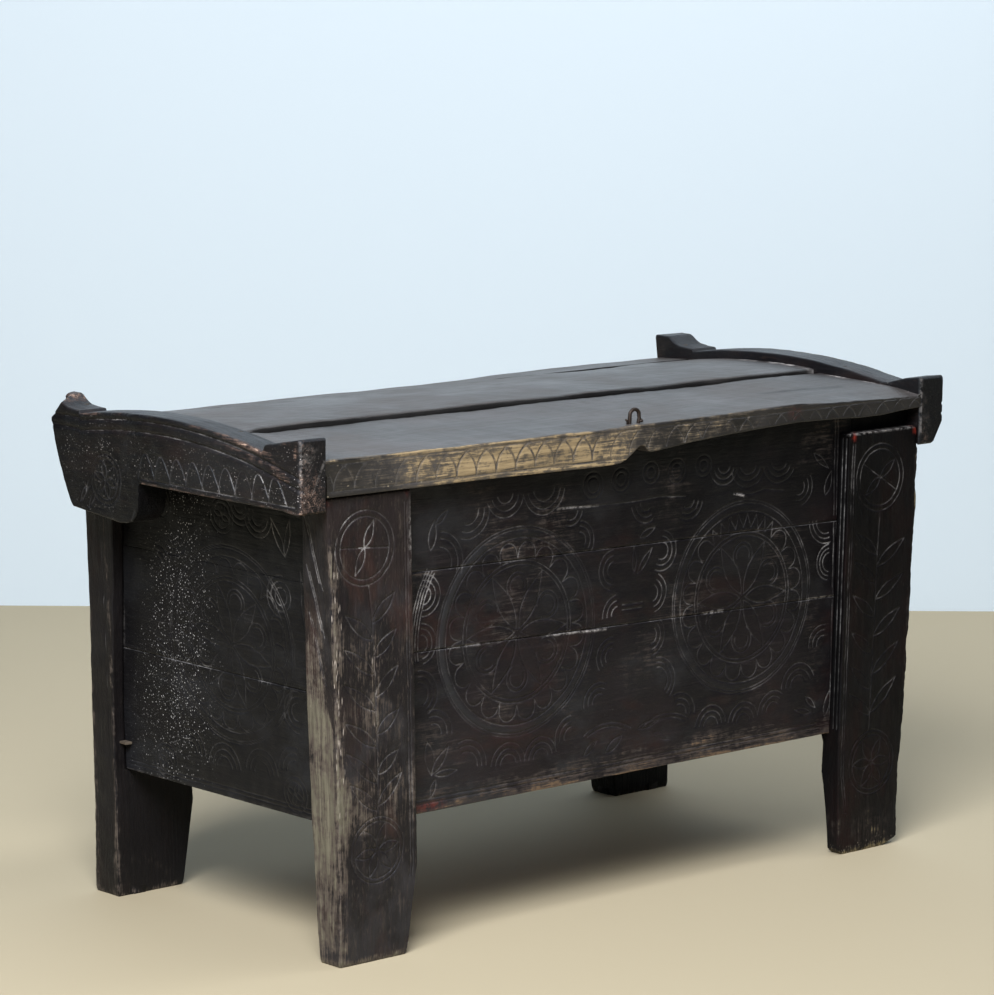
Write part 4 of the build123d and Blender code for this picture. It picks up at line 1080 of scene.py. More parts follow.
for side, word in SIDES.items():
    end_cuts = [end_point(side, mark[:, 0], mark[:, 1], 0.0) for mark in end_marks]
    for number, level in enumerate(LEVELS):
        low, high = END_HEIGHTS[number], END_HEIGHTS[number + 1]
        rings = []
        for y in levels([END_START, END_START + 0.6, END_FINISH - 0.6, END_FINISH], 2.0):
            tongue = 7.0 if number > 0 else 0.0
            groove = 7.4 if number < 2 else 0.0
            gap = 0.1 * (1.5 + unevenness(np.array([y, 8.0]), 70.0, 70 + number))
            corners = board_corners(low, high, tongue, groove, gap)
            steps = [int((high - low) / 1.9)] + BOARD_STEPS
            soft = [0.4 if number == 2 else 1.6, 0.4 if number == 1 else 1.6] + [None] * 10
            cut = section(corners, steps, soft)
            rings.append(end_point(side, np.full(len(cut), y), cut[:, 1], cut[:, 0]))
        board = skin("%s_end_skin_%s" % (word, level), rings)
        where = places(board)
        depth = end_wall(where[:, 2]) - np.abs(where[:, 0])
        hewn = 0.5 * unevenness(where, 80.0, 73 + number) + 0.3 * unevenness(where, 22.0, 76)
        where[:, 0] -= side * (hewn + 0.2) * near(depth, 0, 6)
        far = np.hypot(where[:, 1] - PIN_Y, where[:, 2] - PIN_Z)
        out = (where[:, 2] > PIN_Z) & (where[:, 1] > PIN_Y) & (far > HEAD_RADIUS)
        round_top = np.minimum(where[:, 2], head_height(where[:, 1]))
        where[:, 2] = np.where(out, round_top, where[:, 2])
        shift(board, where)
        patch = unevenness(where, 110.0, 80 + number)
        tint(board, "wear", (0.05 + 0.06 * patch + 0.25 * near(where[:, 2], BOARD_LOW, 7))
             * near(depth, 0, 10))
        y, z = where[:, 1], where[:, 2]
        # Painted glints: pale specks in a band a little behind the middle of each end, denser on
        # the left-hand end, which faces the light.
        outside = near(depth, 0, 6)
        middle = 64.0 + 42.0 * np.clip((560.0 - z) / 300.0, 0, 1.2)
        band = near(y, middle, 85.0 + 30.0 * np.clip((500.0 - z) / 200.0, 0, 1)) ** 0.8
        band += 0.4 * near(y, 150.0, 40.0) * near(z, 490.0, 90.0)
        clusters = np.clip(0.48 + 0.06 * unevenness(where, 31.0, 85), 0.20, 0.95)
        thin = np.interp(z, [178, 230, 300, 560], [0.5, 0.9, 1.0, 0.8])
        thin = thin * (1.0 if side < 0 else 0.4)
        tint(board, "specks", (0.035 + band * clusters * thin) * outside)
        # Painted shade under the cleats' overhang: the boards darken towards the top.
        tint(board, "soot", np.interp(z, [178, 300, 500, 585, 646], [0.1, 0.25, 0.5, 0.95, 1.0]))
        # Pale lines in the cuts: dust, with painted glints, and a painted highlight along the lower
        # seam.
        lines = 0.07 + 0.04 * patch + spots(y, z, BRIGHT_END_CUTS)
        lines += near(z, 350.0, 5) * np.interp(y, [-200, 20, 200], [0.2, 0.7, 0.9])
        tint(board, "lines", lines)
        # A painted highlight along the boards' back edge, and painted sheen beside it.
        tint(board, "chalk", 0.28 * near(y, 216.0, 5) * near(z, 420, 90) * outside)
        tint(board, "bloom", 0.6 * near(y, 208.0, 34) * near(z, 465, 60))
        carve(board, end_cuts, END_WOOD, depth=0.42, half_width=1.6)
        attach(board, "carcass")
        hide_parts("%s_end_board_%s" % (word, level))

# ------------------------------------------------------------------------------------------
# FLOOR.  Seven bare boards laid from front to back, housed in the walls and notched round the
# stiles.  They never saw smoke or wax.
# ------------------------------------------------------------------------------------------
FLOOR_WOOD = old_wood("floor_pine", (0.16, 0.10, 0.055), (0.27, 0.18, 0.10),
                      (0.22, 0.15, 0.085), (0.36, 0.27, 0.17), grain="Y", gloss=0.72)


def refinish(nodes, wood):
    """Gives pieces that are seen as they were built their wood."""
    for node in nodes:
        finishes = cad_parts[node].data.materials
        finishes.clear()
        finishes.append(wood)


refinish(["floor_board_end_left", "floor_board_end_right"], FLOOR_WOOD)
refinish(["floor_board_%d" % number for number in range(1, 6)], FLOOR_WOOD)

# ------------------------------------------------------------------------------------------
# PEGS, PINS AND THE SLIVER.  Whittled pegs of paler wood lock the boards in the stiles, and
# two thicker ones carry the lid; their ends show in the cleats.
# ------------------------------------------------------------------------------------------
PEG_WOOD = old_wood("peg_ash", (0.055, 0.045, 0.036), (0.11, 0.088, 0.068),
                    (0.14, 0.115, 0.09), (0.26, 0.23, 0.19), grain="X", gloss=0.6)
refinish(("front_board_pegs", "back_board_pegs", "lid_pin_left", "lid_pin_right", "end_shim"),
         PEG_WOOD)

# ------------------------------------------------------------------------------------------
# LID BOARDS.  Three boards side by side make a low dome between the cleats.  The front one is
# thick at its edge and hangs down as a lip, with a notch for a hasp that is gone; its rim is
# chip-carved with crossing half rings and is rubbed to bare wood left of the notch.
# ------------------------------------------------------------------------------------------
# The lid's grey film is lighter than the carcass's, partly standing in for the sheen of its top:
# painted sheen.
LID_WOOD = old_wood("lid_oak", (0.038, 0.035, 0.036), (0.056, 0.050, 0.049),
                    (0.085, 0.070, 0.054), (0.40, 0.300, 0.170), grain="X", gloss=0.45, sheen=0.64,
                    film=(0.070, 0.066, 0.070), scuffs=0.16, flecks=(0.40, 0.34, 0.24),
                    fleck_size=300.0, fleck_stretch=0.6, wax=(1.0, 1.0, 1.0), cut_reach=0.0024,
                    shade_and_soot_share=0.08)
RIM_FACE = -270.5
RIM_TOP = 666.0
LID_END = 577.0
CLEAT_INNER = 557.0

# The lip's lower edge from left to right: (X, height), with the hasp's notch in the middle.
LIP_EDGE = np.array([
    (-557, 618), (-300, 617), (-84, 614.5), (-60, 614.8), (-45, 616.2), (-35, 619.7),
    (-28, 624), (-20, 629.3), (-13, 634.6), (-7, 636.6), (-1, 635.6), (4, 631.5), (7, 627.4),
    (11, 626.3), (25, 627), (91, 633.2), (169, 637.6), (235, 640.3), (301, 642.5), (391, 640.4),
    (424, 638.5), (472, 638.9), (517, 642.1), (557, 643.8)])


def lip_bottom(x):
    """Height of the lip's lower edge."""
    height = np.interp(x, LIP_EDGE[:, 0], LIP_EDGE[:, 1])
    return np.where(np.abs(x) > 556.9, LID_UNDERSIDE - 0.01, height)


def seam_open(x):
    """The front seam is packed with dirt at its left end and open everywhere else."""
    return np.clip((np.asarray(x, float) + 525.0) / 35.0, 0.0, 1.0)


def clear_of_cleats(x):
    """1 between the cleats, fading to 0 where the boards' ends are housed in them."""
    return np.clip((CLEAT_INNER - 1 - np.abs(x)) / 10, 0, 1)


def lengthwise(x, cut):
    """A section in Y and Z as a ring of a lid board."""
    return np.column_stack([np.full(len(cut), x), cut])


def front_lid_board():
    rings = []
    lengths = levels([-LID_END, -557.3, -556.8, -60.0, 25.0, 556.8, 557.3, LID_END], 1.7)
    worn = unevenness(np.array([[x, 0.0] for x in lengths]), 80.0, 91)
    edge = unevenness(np.array([[x, 5.0] for x in lengths]), 130.0, 92)
    for row, x in enumerate(lengths):
        low = float(lip_bottom(x))
        back = -62.4 + (1.7 * edge[row] - 3.2) * float(seam_open(x))
        top_back = 678.0 - 2.6 * float(seam_open(x))
        corners = [
            (RIM_FACE, low), (RIM_FACE, RIM_TOP), (back, top_back), (back - 0.5, 656.0),
            (-204.0, LID_UNDERSIDE), (-247.0, LID_UNDERSIDE), (-247.0, low)]
        steps = [22, 62, 6, 14, 6, 4, 4]
        soft = [1.6, 2.4 + 0.9 * worn[row], 4.0, None, None, None, 1.2]
        cut = section(corners, steps, soft)
        rings.append(lengthwise(x, cut))
    piece = skin("lid_front_skin", rings)
    where = places(piece)
    inside = clear_of_cleats(where[:, 0])
    top = np.clip((where[:, 2] - 662) / 4, 0, 1)
    hewn = adzed(where, 93, (0.8, 120.0), (0.3, 30.0))
    where[:, 2] += hewn * top * inside
    front = near(where[:, 1], RIM_FACE, 3)
    # The board has warped, so its front edge dips and lifts along the way.
    sag = np.interp(where[:, 0], [-577, -85, 234, 301, 391, 466, 549],
                    [0, -1.8, 1.8, 2, -1.8, -4.2, -7])
    low = lip_bottom(where[:, 0])
    rise = np.clip((where[:, 2] - low) / (RIM_TOP - low), 0, 1)
    where[:, 2] += sag * rise * np.clip((-225 - where[:, 1]) / 40, 0, 1) * inside
    where[:, 1] += (0.5 + 0.6 * unevenness(where, 60.0, 95)) * front * inside
    shift(piece, where)
    return piece


RIM_PITCH = 34.5


def on_rim(points):
    """Which points of a stroke lie clear of the lip's edge, the rounded top and the cleats."""
    x, z = points.T
    return (z > lip_bottom(x) + 3) & (z < 660) & (np.abs(x) < 553)


rim_marks = []
for number in range(-14, 20):
    half_ring = arc(-98.0 + RIM_PITCH * number, 627.0, RIM_PITCH, 0, 180)
    for run in np.split(half_ring, np.flatnonzero(np.diff(on_rim(half_ring))) + 1):
        if len(run) > 1 and on_rim(run).all():
            rim_marks.append(run)
rim_marks.append(stroke((-552, 659.5), (552, 659.5)))
rim_marks.append(stroke((-552, 625.0), (-62, 622.5)))
lid_cuts = on_face(rim_marks, at_y(RIM_FACE))
split = np.array([[330, -163], [374, -166], [410, -171], [434, -176], [480, -180]])
lid_cuts.append(np.column_stack([split, np.full(len(split), 672.0)]))

board = front_lid_board()
where = places(board)
x, y, z = where.T
rim = near(y, RIM_FACE, 4)
patch = unevenness(where, 42.0, 104)
rubbed = np.interp(x, [-557, -480, -440, -400, -330, -70, -30, 40, 130, 240, 300, 557],
                   [.08, .20, .42, .66, .95, 1.0, .50, .30, .22, .12, .04, .02])
bands = np.interp(z - lip_bottom(x), [0, 5, 10, 34, 40, 48], [.75, .8, 1, 1, .7, .8])
wear = rim * rubbed * bands * (1 + 0.22 * patch)
wear += 0.30 * near(z, RIM_TOP, 4) * near(y, RIM_FACE, 9) * np.where(x < 60, 1, 0.5)
wear += 0.50 * rim * near(z, 664, 6) * near(x, -400, 120)
wear += 0.40 * rim * near(z, lip_bottom(x), 3) * near(x, -12, 26)
tint(board, "wear", wear)
tint(board, "paint", 0.22 * rim * near(x, 292, 16) * near(z, 657, 12))
to_split = np.abs(y - np.interp(x, split[:, 0], split[:, 1]))
in_split = 1.6 * near(to_split, 0, 7.0) * (x > 325) * (x < 486) * (z > 660)
at_seam = near(y, -66, 8) * (z > 655) * seam_open(x)
# The rim is darker at both ends and right of the notch; the split and the seam's edge are darker
# too.
soot = rim * np.interp(x, [-577, -460, -400, -40, 0, 250, 577], [1, .9, 0, .15, .95, 1, 1])
tint(board, "soot", soot + in_split + 1.3 * at_seam)
spark = np.interp(x, [-577, -400, -330, 60, 160], [.9, 1, 0, .6, .1])
tint(board, "specks", rim * (0.06 + 0.12 * spark))
dusty = np.interp(x, [-577, -400, 40, 200, 330, 557], [.16, .2, .3, .3, .16, .14])
tint(board, "lines", rim * dusty)
chalk_marks = 1.6 * near(x, 549, 12) * near(y, -112, 26)
tint(board, "chalk", chalk_marks + 1.0 * near(x, 549, 9) * near(y, -178, 26))
carve(board, lid_cuts, LID_WOOD, depth=0.9)
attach(board, "lid")
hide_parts("lid_board_front")


def bowed(y, ends, heights, crown):
    """Height of a board that rises in a bow between its two edges."""
    share = (y - ends[0]) / (ends[1] - ends[0])
    return heights[0] + (heights[1] - heights[0]) * share + crown * 4 * share * (1 - share)


MIDDLE_FRONT, MIDDLE_BACK = -62.0, 205.5
TOP_EDGES, TOP_CROWN = (677.0, 670.0), 6.5
UNDER_EDGES, UNDER_CROWN = (660.0, 648.0), 6.0
rings = []
lengths = levels([-LID_END, 1 - CLEAT_INNER, CLEAT_INNER - 1, LID_END], 3.0)
edge = unevenness(np.array([[x, 1.0] for x in lengths]), 150.0, 96)
for row, x in enumerate(lengths):
    front = MIDDLE_FRONT + (3.4 + 1.6 * edge[row]) * float(seam_open(x))
    step = 1.5 + float(np.interp(x, [-525, -490, 150, 557], [0, 3.0, 3.0, 1.8]))
    ends = (front, MIDDLE_BACK)
    across = np.linspace(front + 4, MIDDLE_BACK - 2, 44)
    top_edges = (TOP_EDGES[0] + step, TOP_EDGES[1])
    top = [(y, bowed(y, ends, top_edges, TOP_CROWN)) for y in across]
    under = [(y, bowed(y, ends, UNDER_EDGES, UNDER_CROWN)) for y in across[::-4]]
    cut = [(front, top_edges[0] - 3), (front + 1.2, top_edges[0] - 0.7)] + top
    cut += [(MIDDLE_BACK - 0.3, TOP_EDGES[1] - 1.4), (MIDDLE_BACK, TOP_EDGES[1] - 3)]
    cut += [(MIDDLE_BACK, UNDER_EDGES[1] + 1)] + under + [(front, UNDER_EDGES[0] + 1)]
    rings.append(lengthwise(x, np.array(cut)))
board = skin("lid_middle_skin", rings)
where = places(board)
hewn = adzed(where, 97, (0.9, 130.0), (0.3, 30.0))
where[:, 2] += hewn * clear_of_cleats(where[:, 0]) * np.clip((where[:, 2] - 664) / 4, 0, 1)
shift(board, where)
x, y, z = where.T
tint(board, "wear", 0.03 + 0.04 * unevenness(where, 160.0, 99))
# Painted shade on the riser where the middle board stands above the front one, and at its back
# edge.
riser = near(y, -60, 5) * np.clip((681.5 - z) / 2, 0, 1) + near(y, 206, 3)
tint(board, "soot", 1.8 * riser * np.maximum(seam_open(x), (y > 0)))
clumps = np.clip(0.6 + 1.2 * unevenness(where, 30.0, 100), 0, 1)
tint(board, "chalk", 2.2 * near(x, 549, 13) * clumps * near(y, 15, 110))
board.data.materials.append(LID_WOOD)
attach(board, "lid")
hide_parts("lid_board_middle")

REAR_FRONT, REAR_BACK = 208.5, 271.5
rings = []
edge = unevenness(np.array([[x, 2.0] for x in lengths]), 140.0, 101)
for row, x in enumerate(lengths):
    warped = float(np.clip((x - 60.0) / 260.0, 0, 1))
    front = REAR_FRONT + 0.9 * edge[row] + 0.8 * warped
    corners = [(front, LID_UNDERSIDE), (front, 669.0 + 1.6 * warped),
               (REAR_BACK, 662.5 + 5.0 * warped), (REAR_BACK, LID_UNDERSIDE)]
    cut = section(corners, [5, 14, 5, 10], [None, 2.5 - 1.5 * warped, 3.5, 2.0])
    rings.append(lengthwise(x, cut))
board = skin("lid_rear_skin", rings)
where = places(board)
hewn = 0.7 * unevenness(where, 110.0, 102)
where[:, 2] += hewn * clear_of_cleats(where[:, 0]) * np.clip((where[:, 2] - 655) / 6, 0, 1)
shift(board, where)
tint(board, "wear", 0.03 + 0.04 * unevenness(where, 160.0, 103))
tint(board, "soot", 1.3 * near(where[:, 1], 208, 4))
board.data.materials.append(LID_WOOD)
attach(board, "lid")
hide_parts("lid_board_rear")

# ------------------------------------------------------------------------------------------
# CLEATS.  A shaped oak cleat closes each end of the lid: a raised block in front, an arch that
# follows the dome, a horn behind, and below it the lobe that hangs on the pin.  Two beads
# follow the top, crossing half rings run along the side, and every arris is rubbed through.
# ------------------------------------------------------------------------------------------
CLEAT_WOOD = old_wood("cleat_oak", (0.0058, 0.0050, 0.0060), (0.0105, 0.0082, 0.0086),
                      (0.078, 0.052, 0.043), (0.40, 0.280, 0.220), grain="Y", gloss=0.42,
                      sheen=0.31, film=(0.0170, 0.0172, 0.0192), russet=(0.0215, 0.0125, 0.0112),
                      scuffs=0.40, relief=0.9, flecks=(0.42, 0.40, 0.40), fleck_size=430.0)
CLEAT_OUTER = 603.0


def arc_through(first, middle, last):
    """Height along an arc through three points, as a function of Y."""
    (x0, y0), (x1, y1), (x2, y2) = first, middle, last
    d = 2 * (x0 * (y1 - y2) + x1 * (y2 - y0) + x2 * (y0 - y1))
    s0, s1, s2 = x0 ** 2 + y0 ** 2, x1 ** 2 + y1 ** 2, x2 ** 2 + y2 ** 2
    cx = (s0 * (y1 - y2) + s1 * (y2 - y0) + s2 * (y0 - y1)) / d
    cy = (s0 * (x2 - x1) + s1 * (x0 - x2) + s2 * (x1 - x0)) / d
    radius = math.hypot(x0 - cx, y0 - cy)
    way = 1.0 if y1 > cy else -1.0
    return lambda y: cy + way * np.sqrt(np.maximum(radius ** 2 - (np.asarray(y) - cx) ** 2, 0))


CLEAT_NOSE = -272.0
BLOCK_END, HORN_START = (-194.0, 673.5), (197.0, 682.8)
cleat_arch = arc_through(BLOCK_END, (25.0, 695.5), HORN_START)
RAIL_LOW = 602.0
LOBE_START = 66.0
BEAD_DROPS = (9.5, 24.0)


def cleat_top(y, side):
    """The left-hand block is stepped up from the arch, and the right-hand one only swells."""
    if side < 0:
        block = np.interp(y, [CLEAT_NOSE, -201.0, -198.5, BLOCK_END[0]],
                          [697.0, 683.5, 677.0, BLOCK_END[1]])
    else:
        block = np.interp(y, [CLEAT_NOSE, -240, -225, -207, BLOCK_END[0]],
                          [687.5, 683.5, 679.6, 674.5, BLOCK_END[1]])
    horn = np.interp(y, [HORN_START[0], 198.5, 212, 229, 237, 244, 249, 253],
                     [HORN_START[1], 686.6, 687.3, 689.2, 692.3, 696.5, 700, 702])
    behind_block = np.where(y < HORN_START[0], cleat_arch(y), horn)
    return np.where(y < BLOCK_END[0], block, behind_block)


def bead_line(y):
    """The line that the two grooves of the side run under: the arch, carried on to the front."""
    return np.where(np.asarray(y) < HORN_START[0], cleat_arch(y), 686.0)


def cleat_bottom(y, side):
    """Under the rail, down over the lobe's toe, along its belly and up its tail."""
    turn = (np.asarray(y) - 213.0) / 59.0
    tail = 555.0 + 147.0 * np.clip(turn, 0, 1) ** 1.45
    toe = np.interp(y, [LOBE_START, 66.8, 68.5, 72.3, 80.0, 92.0, 110.0],
                    [RAIL_LOW, 580.0, 568.0, 559.2, 551.0, 546.5, 545.0])
    belly = np.interp(y, [110.0, 213.0], [545.0, 555.0])
    if side < 0:
        rail = np.interp(y, [CLEAT_NOSE, -250.0, -235.0], [598.6, 600.2, RAIL_LOW])
    else:
        rail = np.interp(y, [CLEAT_NOSE, -240.0, -185.0, -150.0], [588.0, 589.0, 600.0, RAIL_LOW])
    lobe = np.where(y < 110, toe, np.where(y < 213, belly, tail))
    return np.where(y < LOBE_START, rail, lobe)


def cleat(side, seed):
    rings = []
    lengths = [CLEAT_NOSE, -271.2, -270.0, -268.4]
    lengths += levels([-266.5, -201.0, -198.5, BLOCK_END[0], LOBE_START], 1.7)
    lengths += [66.2, 66.5, 67.0, 68.0, 69.5]
    lengths += levels([71.0, 110.0, HORN_START[0], 198.5, 213.0, 252.0, 270.5], 1.6)
    lengths = np.array(lengths)
    worn = unevenness(np.column_stack([lengths, 0 * lengths]), 26.0, seed)
    chips = unevenness(np.column_stack([lengths, 0 * lengths + 7]), 7.0, seed + 1)
    for row, y in enumerate(lengths):
        low, high = float(cleat_bottom(y, side)), float(cleat_top(y, side))
        nose = 4.5 * max(0.0, 1 - (y - CLEAT_NOSE) / 5.5) ** 2
        tall = max(high - low, 1.0)
        top_soft = min(3.2 + 1.4 * max(worn[row], -1) + 1.2 * max(chips[row], 0), tall / 3)
        top_soft = max(top_soft, 7.0 * max(0.0, 1 - (y - CLEAT_NOSE) / 14.0))
        corners = [(CLEAT_OUTER - nose, low + nose), (CLEAT_OUTER - nose, high - nose),
                   (CLEAT_INNER + nose, high - nose), (CLEAT_INNER + nose, low + nose)]
        plan = section(corners, [64, 14, 18, 10], [min(2.0, tall / 4), top_soft,
                                                   min(3.0, tall / 3), min(2.0, tall / 4)])
        rings.append(np.column_stack([side * plan[:, 0], np.full(len(plan), y), plan[:, 1]]))
    piece = skin("cleat_" + SIDES[side], rings)
    where = places(piece)
    x, y, z = side * where[:, 0], where[:, 1], where[:, 2]
    outer = np.clip((x - CLEAT_INNER) / (CLEAT_OUTER - CLEAT_INNER), 0, 1)
    hewn = adzed(where, seed + 2, (0.6, 60.0), (0.3, 20.0))
    free = np.clip((z - 640.0) / 20, 0, 1)
    x = x - (hewn + 0.5) * np.where(x > CLEAT_OUTER - 4, 1, 0)
    z = z + 0.35 * unevenness(where, 60.0, seed + 4) * near(z, cleat_top(y, side), 8) * free
    drop = bead_line(y) - z
    for groove in BEAD_DROPS:
        x = x - 2.4 * near(drop, groove, 3.6) * np.where(x > CLEAT_OUTER - 5, 1, 0)
    if side < 0:
        # A knock has taken the corner off its horn.
        knocked = np.clip((y - 240) / 32 + (z - 668) / 34 - 0.75, 0, 1) * outer ** 1.5
        x = x - 30 * knocked
        z = z - 8 * knocked
    else:
        # This cleat is thicker above the boards, its heel is fuller, and its nose is cut back.
        thicker = np.maximum(np.clip((z - 647) / 8, 0, 1), np.clip((-264 - y) / 3, 0, 1))
        x = x - 6.5 * thicker * (1 - outer)
        tail = 213 + 59 * np.clip((z - 555) / 147, 0, 1) ** 0.69
        stands_out = np.interp(z, [640, 660, 702], [0, 15, 8])
        y = y + stands_out * near(y, tail, 14) * (1 - 0.7 * outer)
        limit = 578 + 25 * np.clip((z - 588) / 41, 0, 1)
        x = x - np.clip(x - limit, 0, 30) * np.clip((-222 - y) / 30, 0, 1)
    shift(piece, np.column_stack([side * x, y, z]))
    return piece


LOBE_STAR = (140.0, 600.0)
cleat_marks = []
for number in range(9):
    t = np.linspace(0, 1, 18)
    arch_y = -246.0 + 34.4 * number + 38.0 * (1 - t)
    cleat_marks.append(np.column_stack([arch_y, 610.0 + 34.0 * np.sin(math.pi * t ** 0.72)]))
along = np.linspace(-262.0, 62.0, 90)
cleat_marks.append(np.column_stack([along, np.full(90, 609.5)]))
cleat_marks += [circle(*LOBE_STAR, 34.0), circle(*LOBE_STAR, 27.0)]
cleat_marks += petals(*LOBE_STAR, 26.0, 6, 10.0, 15.0)
for y, z in ((176, 592), (188, 576), (170, 570)):
    cleat_marks += leaf(y - 6, z + 12, y + 8, z - 12, 7.0)
cleat_marks += [arc(120.0, 580.0, 46.0, 200, 300)]
for side, seed in ((-1, 111), (1, 121)):
    piece = cleat(side, seed)
    where = places(piece)
    x, y, z = side * where[:, 0], where[:, 1], where[:, 2]
    top = near(z, cleat_top(y, side), 6)
    outer_arris = top * near(x, CLEAT_OUTER, 8)
    patch = unevenness(where, 50.0, seed + 6)
    wear = 0.08 * top + 0.28 * outer_arris * np.clip(0.4 + 0.9 * patch, 0, 1)
    wear += 0.26 * near(z, 603, 5) * near(x, CLEAT_OUTER, 5) * (y < 60)
    on_side = near(x, CLEAT_OUTER, 5)
    drop = bead_line(y) - z
    # Painted sheen along the top of each cleat.
    bloom = 0.30 * top
    nose = near(y, CLEAT_NOSE, 6)
    if side < 0:
        front_rib = near(y, -271, 5) * near(x, CLEAT_OUTER - 4, 6)
        wear += 0.05 * nose + 0.24 * front_rib + 0.45 * nose * near(z, 600.5, 6)
        wear += 0.36 * outer_arris * near(y, -130, 75) + 0.40 * near(y, 255, 22) * near(z, 695, 14)
        wear += 0.30 * on_side * near(drop, 12, 12) * near(y, -160, 110)
        wear += 0.34 * on_side * near(drop, 0, 9) * near(y, -205, 40)
        wear += 0.50 * on_side * near(y, -263, 6) * near(z, 682, 20)
        wear += 0.34 * on_side * near(drop, 20, 12) * near(y, -232, 26)
        specks = on_side * (0.09 + 0.14 * near(z, 630, 50) + 0.08 * near(y, 150, 80))
        specks += 0.16 * nose + 0.25 * front_rib + 0.15 * on_side * near(y, -245, 30)
        # Painted shade: the nose is darker, the side darkens towards the lobe, and the underside is
        # darkest.
        soot = 0.40 * nose + on_side * np.interp(y, [-272, -100, 50, 272], [0.25, 0.40, 0.85, 1.0])
        soot += (z < 604) * (1 - on_side)
        # Painted highlights along the front block's arrises.
        chalk = 0.40 * near(y, -271, 3) * near(x, CLEAT_OUTER - 3, 3) * near(z, 665, 50)
        chalk += 0.5 * nose * near(x, 560, 4) * near(z, 668, 7)
    else:
        wear += 0.16 * nose * (near(x, 553, 9) + near(z, 600, 16))
        specks = 0.04 + 0.30 * near(y, -205, 40) * near(z, 678, 14) * (x < 590)
        # Painted shade: the side darkens towards the lobe, and the nose and the inner face are
        # darker still.
        soot = on_side * np.interp(y, [-272, -100, 100, 272], [0.2, 0.4, 0.75, 0.8])
        soot += 0.95 * near(y, CLEAT_NOSE, 8) + 0.5 * near(x, 550, 6)
        # A painted highlight along the front block's inner arris.
        chalk = 0.36 * near(y, -271.5, 3) * near(x, 553, 3) * (z > 600)
        # Painted sheen on the front of the right-hand block.
        bloom += 0.40 * near(y, -270, 12) * near(z, 655, 50)
    # Pale lines in the cuts: dust, with painted glints brightest towards the front.
    lines = np.interp(y, [-272, -150, -60, 20, 80, 272], [1.0, 0.7, 0.30, 0.08, 0.12, 0.22])
    grooves = np.interp(y, [-272, -200, -100, 0, 232], [0.1, 0.3, 0.6, 0.85, 0.80])
    lines = np.where((drop > 0) & (drop < 29), grooves, lines)
    lines = lines * np.clip(1 + 0.5 * patch, 0.3, 1.6)
    tint_all(piece, wear=wear, specks=specks, bloom=bloom, soot=soot, chalk=chalk, lines=lines)
    cuts = [np.column_stack([np.full(len(mark), side * CLEAT_OUTER), mark])
            for mark in cleat_marks]
    along = np.linspace(-262.0, 232.0, 130)
    bead_x = np.full(130, side * (CLEAT_OUTER - 2.9))
    cuts += [np.column_stack([bead_x, along, bead_line(along) - bead]) for bead in BEAD_DROPS]
    if side > 0:
        # Two short nicks stand side by side on the front of its block.
        for top_x, top_z, low_x, low_z in ((572, 650, 571, 630), (578, 648, 578.5, 633)):
            cuts.append(stroke((top_x, CLEAT_NOSE, top_z), (low_x, CLEAT_NOSE, low_z)))
    carve(piece, cuts, CLEAT_WOOD, depth=1.1, half_width=1.6)
    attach(piece, "lid")
    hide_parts("lid_cleat_" + SIDES[side])

# ------------------------------------------------------------------------------------------
# LID PEGS.  Five whittled pegs a side, driven down through each cleat into the ends of the
# boards and cut off flush with the cleat's top.
# ------------------------------------------------------------------------------------------
PEG_X = 567.0
PEG_Y = (-229.5, -104.5, -22.0, 103.0, 231.0)
PEG_FOOT = 628.0
PEG_RADIUS = 4.5


def peg_tree():
    """Geometry nodes that stand a whittled peg on every point, as tall as the point says."""
    tree, given, result = new_tree("driven_pegs", (
        ("Feet", "Geometry"), ("Radius", "Float"), ("Finish", "Material")), "Pegs")
    peg = add_node(tree, "GeometryNodeMeshCylinder", {
        "Vertices": 11, "Side Segments": 4, "Depth": 1.0, "Radius": given["Radius"]})
    lift = add_node(tree, "GeometryNodeTransform", {
        "Geometry": peg.outputs["Mesh"], "Translation": (0.0, 0.0, 0.5)})
    tall = add_node(tree, "GeometryNodeInputNamedAttribute", {"Name": "tall"}, data_type="FLOAT")
    turn = add_node(tree, "FunctionNodeRandomValue", {"Max": 6.283, "Seed": 5})
    twist = add_node(tree, "ShaderNodeCombineXYZ", {"Z": turn.outputs[1]})
    size = add_node(tree, "ShaderNodeCombineXYZ", {
        "X": 1.0, "Y": 1.0, "Z": tall.outputs["Attribute"]})
    stand = add_node(tree, "GeometryNodeInstanceOnPoints", {
        "Points": given["Feet"], "Instance": lift.outputs["Geometry"],
        "Rotation": twist.outputs["Vector"], "Scale": size.outputs["Vector"]})
    end_tree(tree, stand.outputs["Instances"], given["Finish"], result)
    return tree


feet = [(side * PEG_X, y, PEG_FOOT) for side in (-1, 1) for y in PEG_Y]
heads = [float(cleat_top(y, side)) for side in (-1, 1) for y in PEG_Y]
mesh = bpy.data.meshes.new("lid_peg_set")
mesh.from_pydata([tuple(v * MM for v in foot) for foot in feet], [], [])
lid_pegs = set_down("lid_peg_set", mesh)
height = mesh.attributes.new("tall", "FLOAT", "POINT")
height.data.foreach_set("value", [(head - PEG_FOOT - 0.4) * MM for head in heads])
through_tree(lid_pegs, peg_tree(), {"Radius": PEG_RADIUS * MM, "Finish": PEG_WOOD})
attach(lid_pegs, "lid")
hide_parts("lid_pegs")

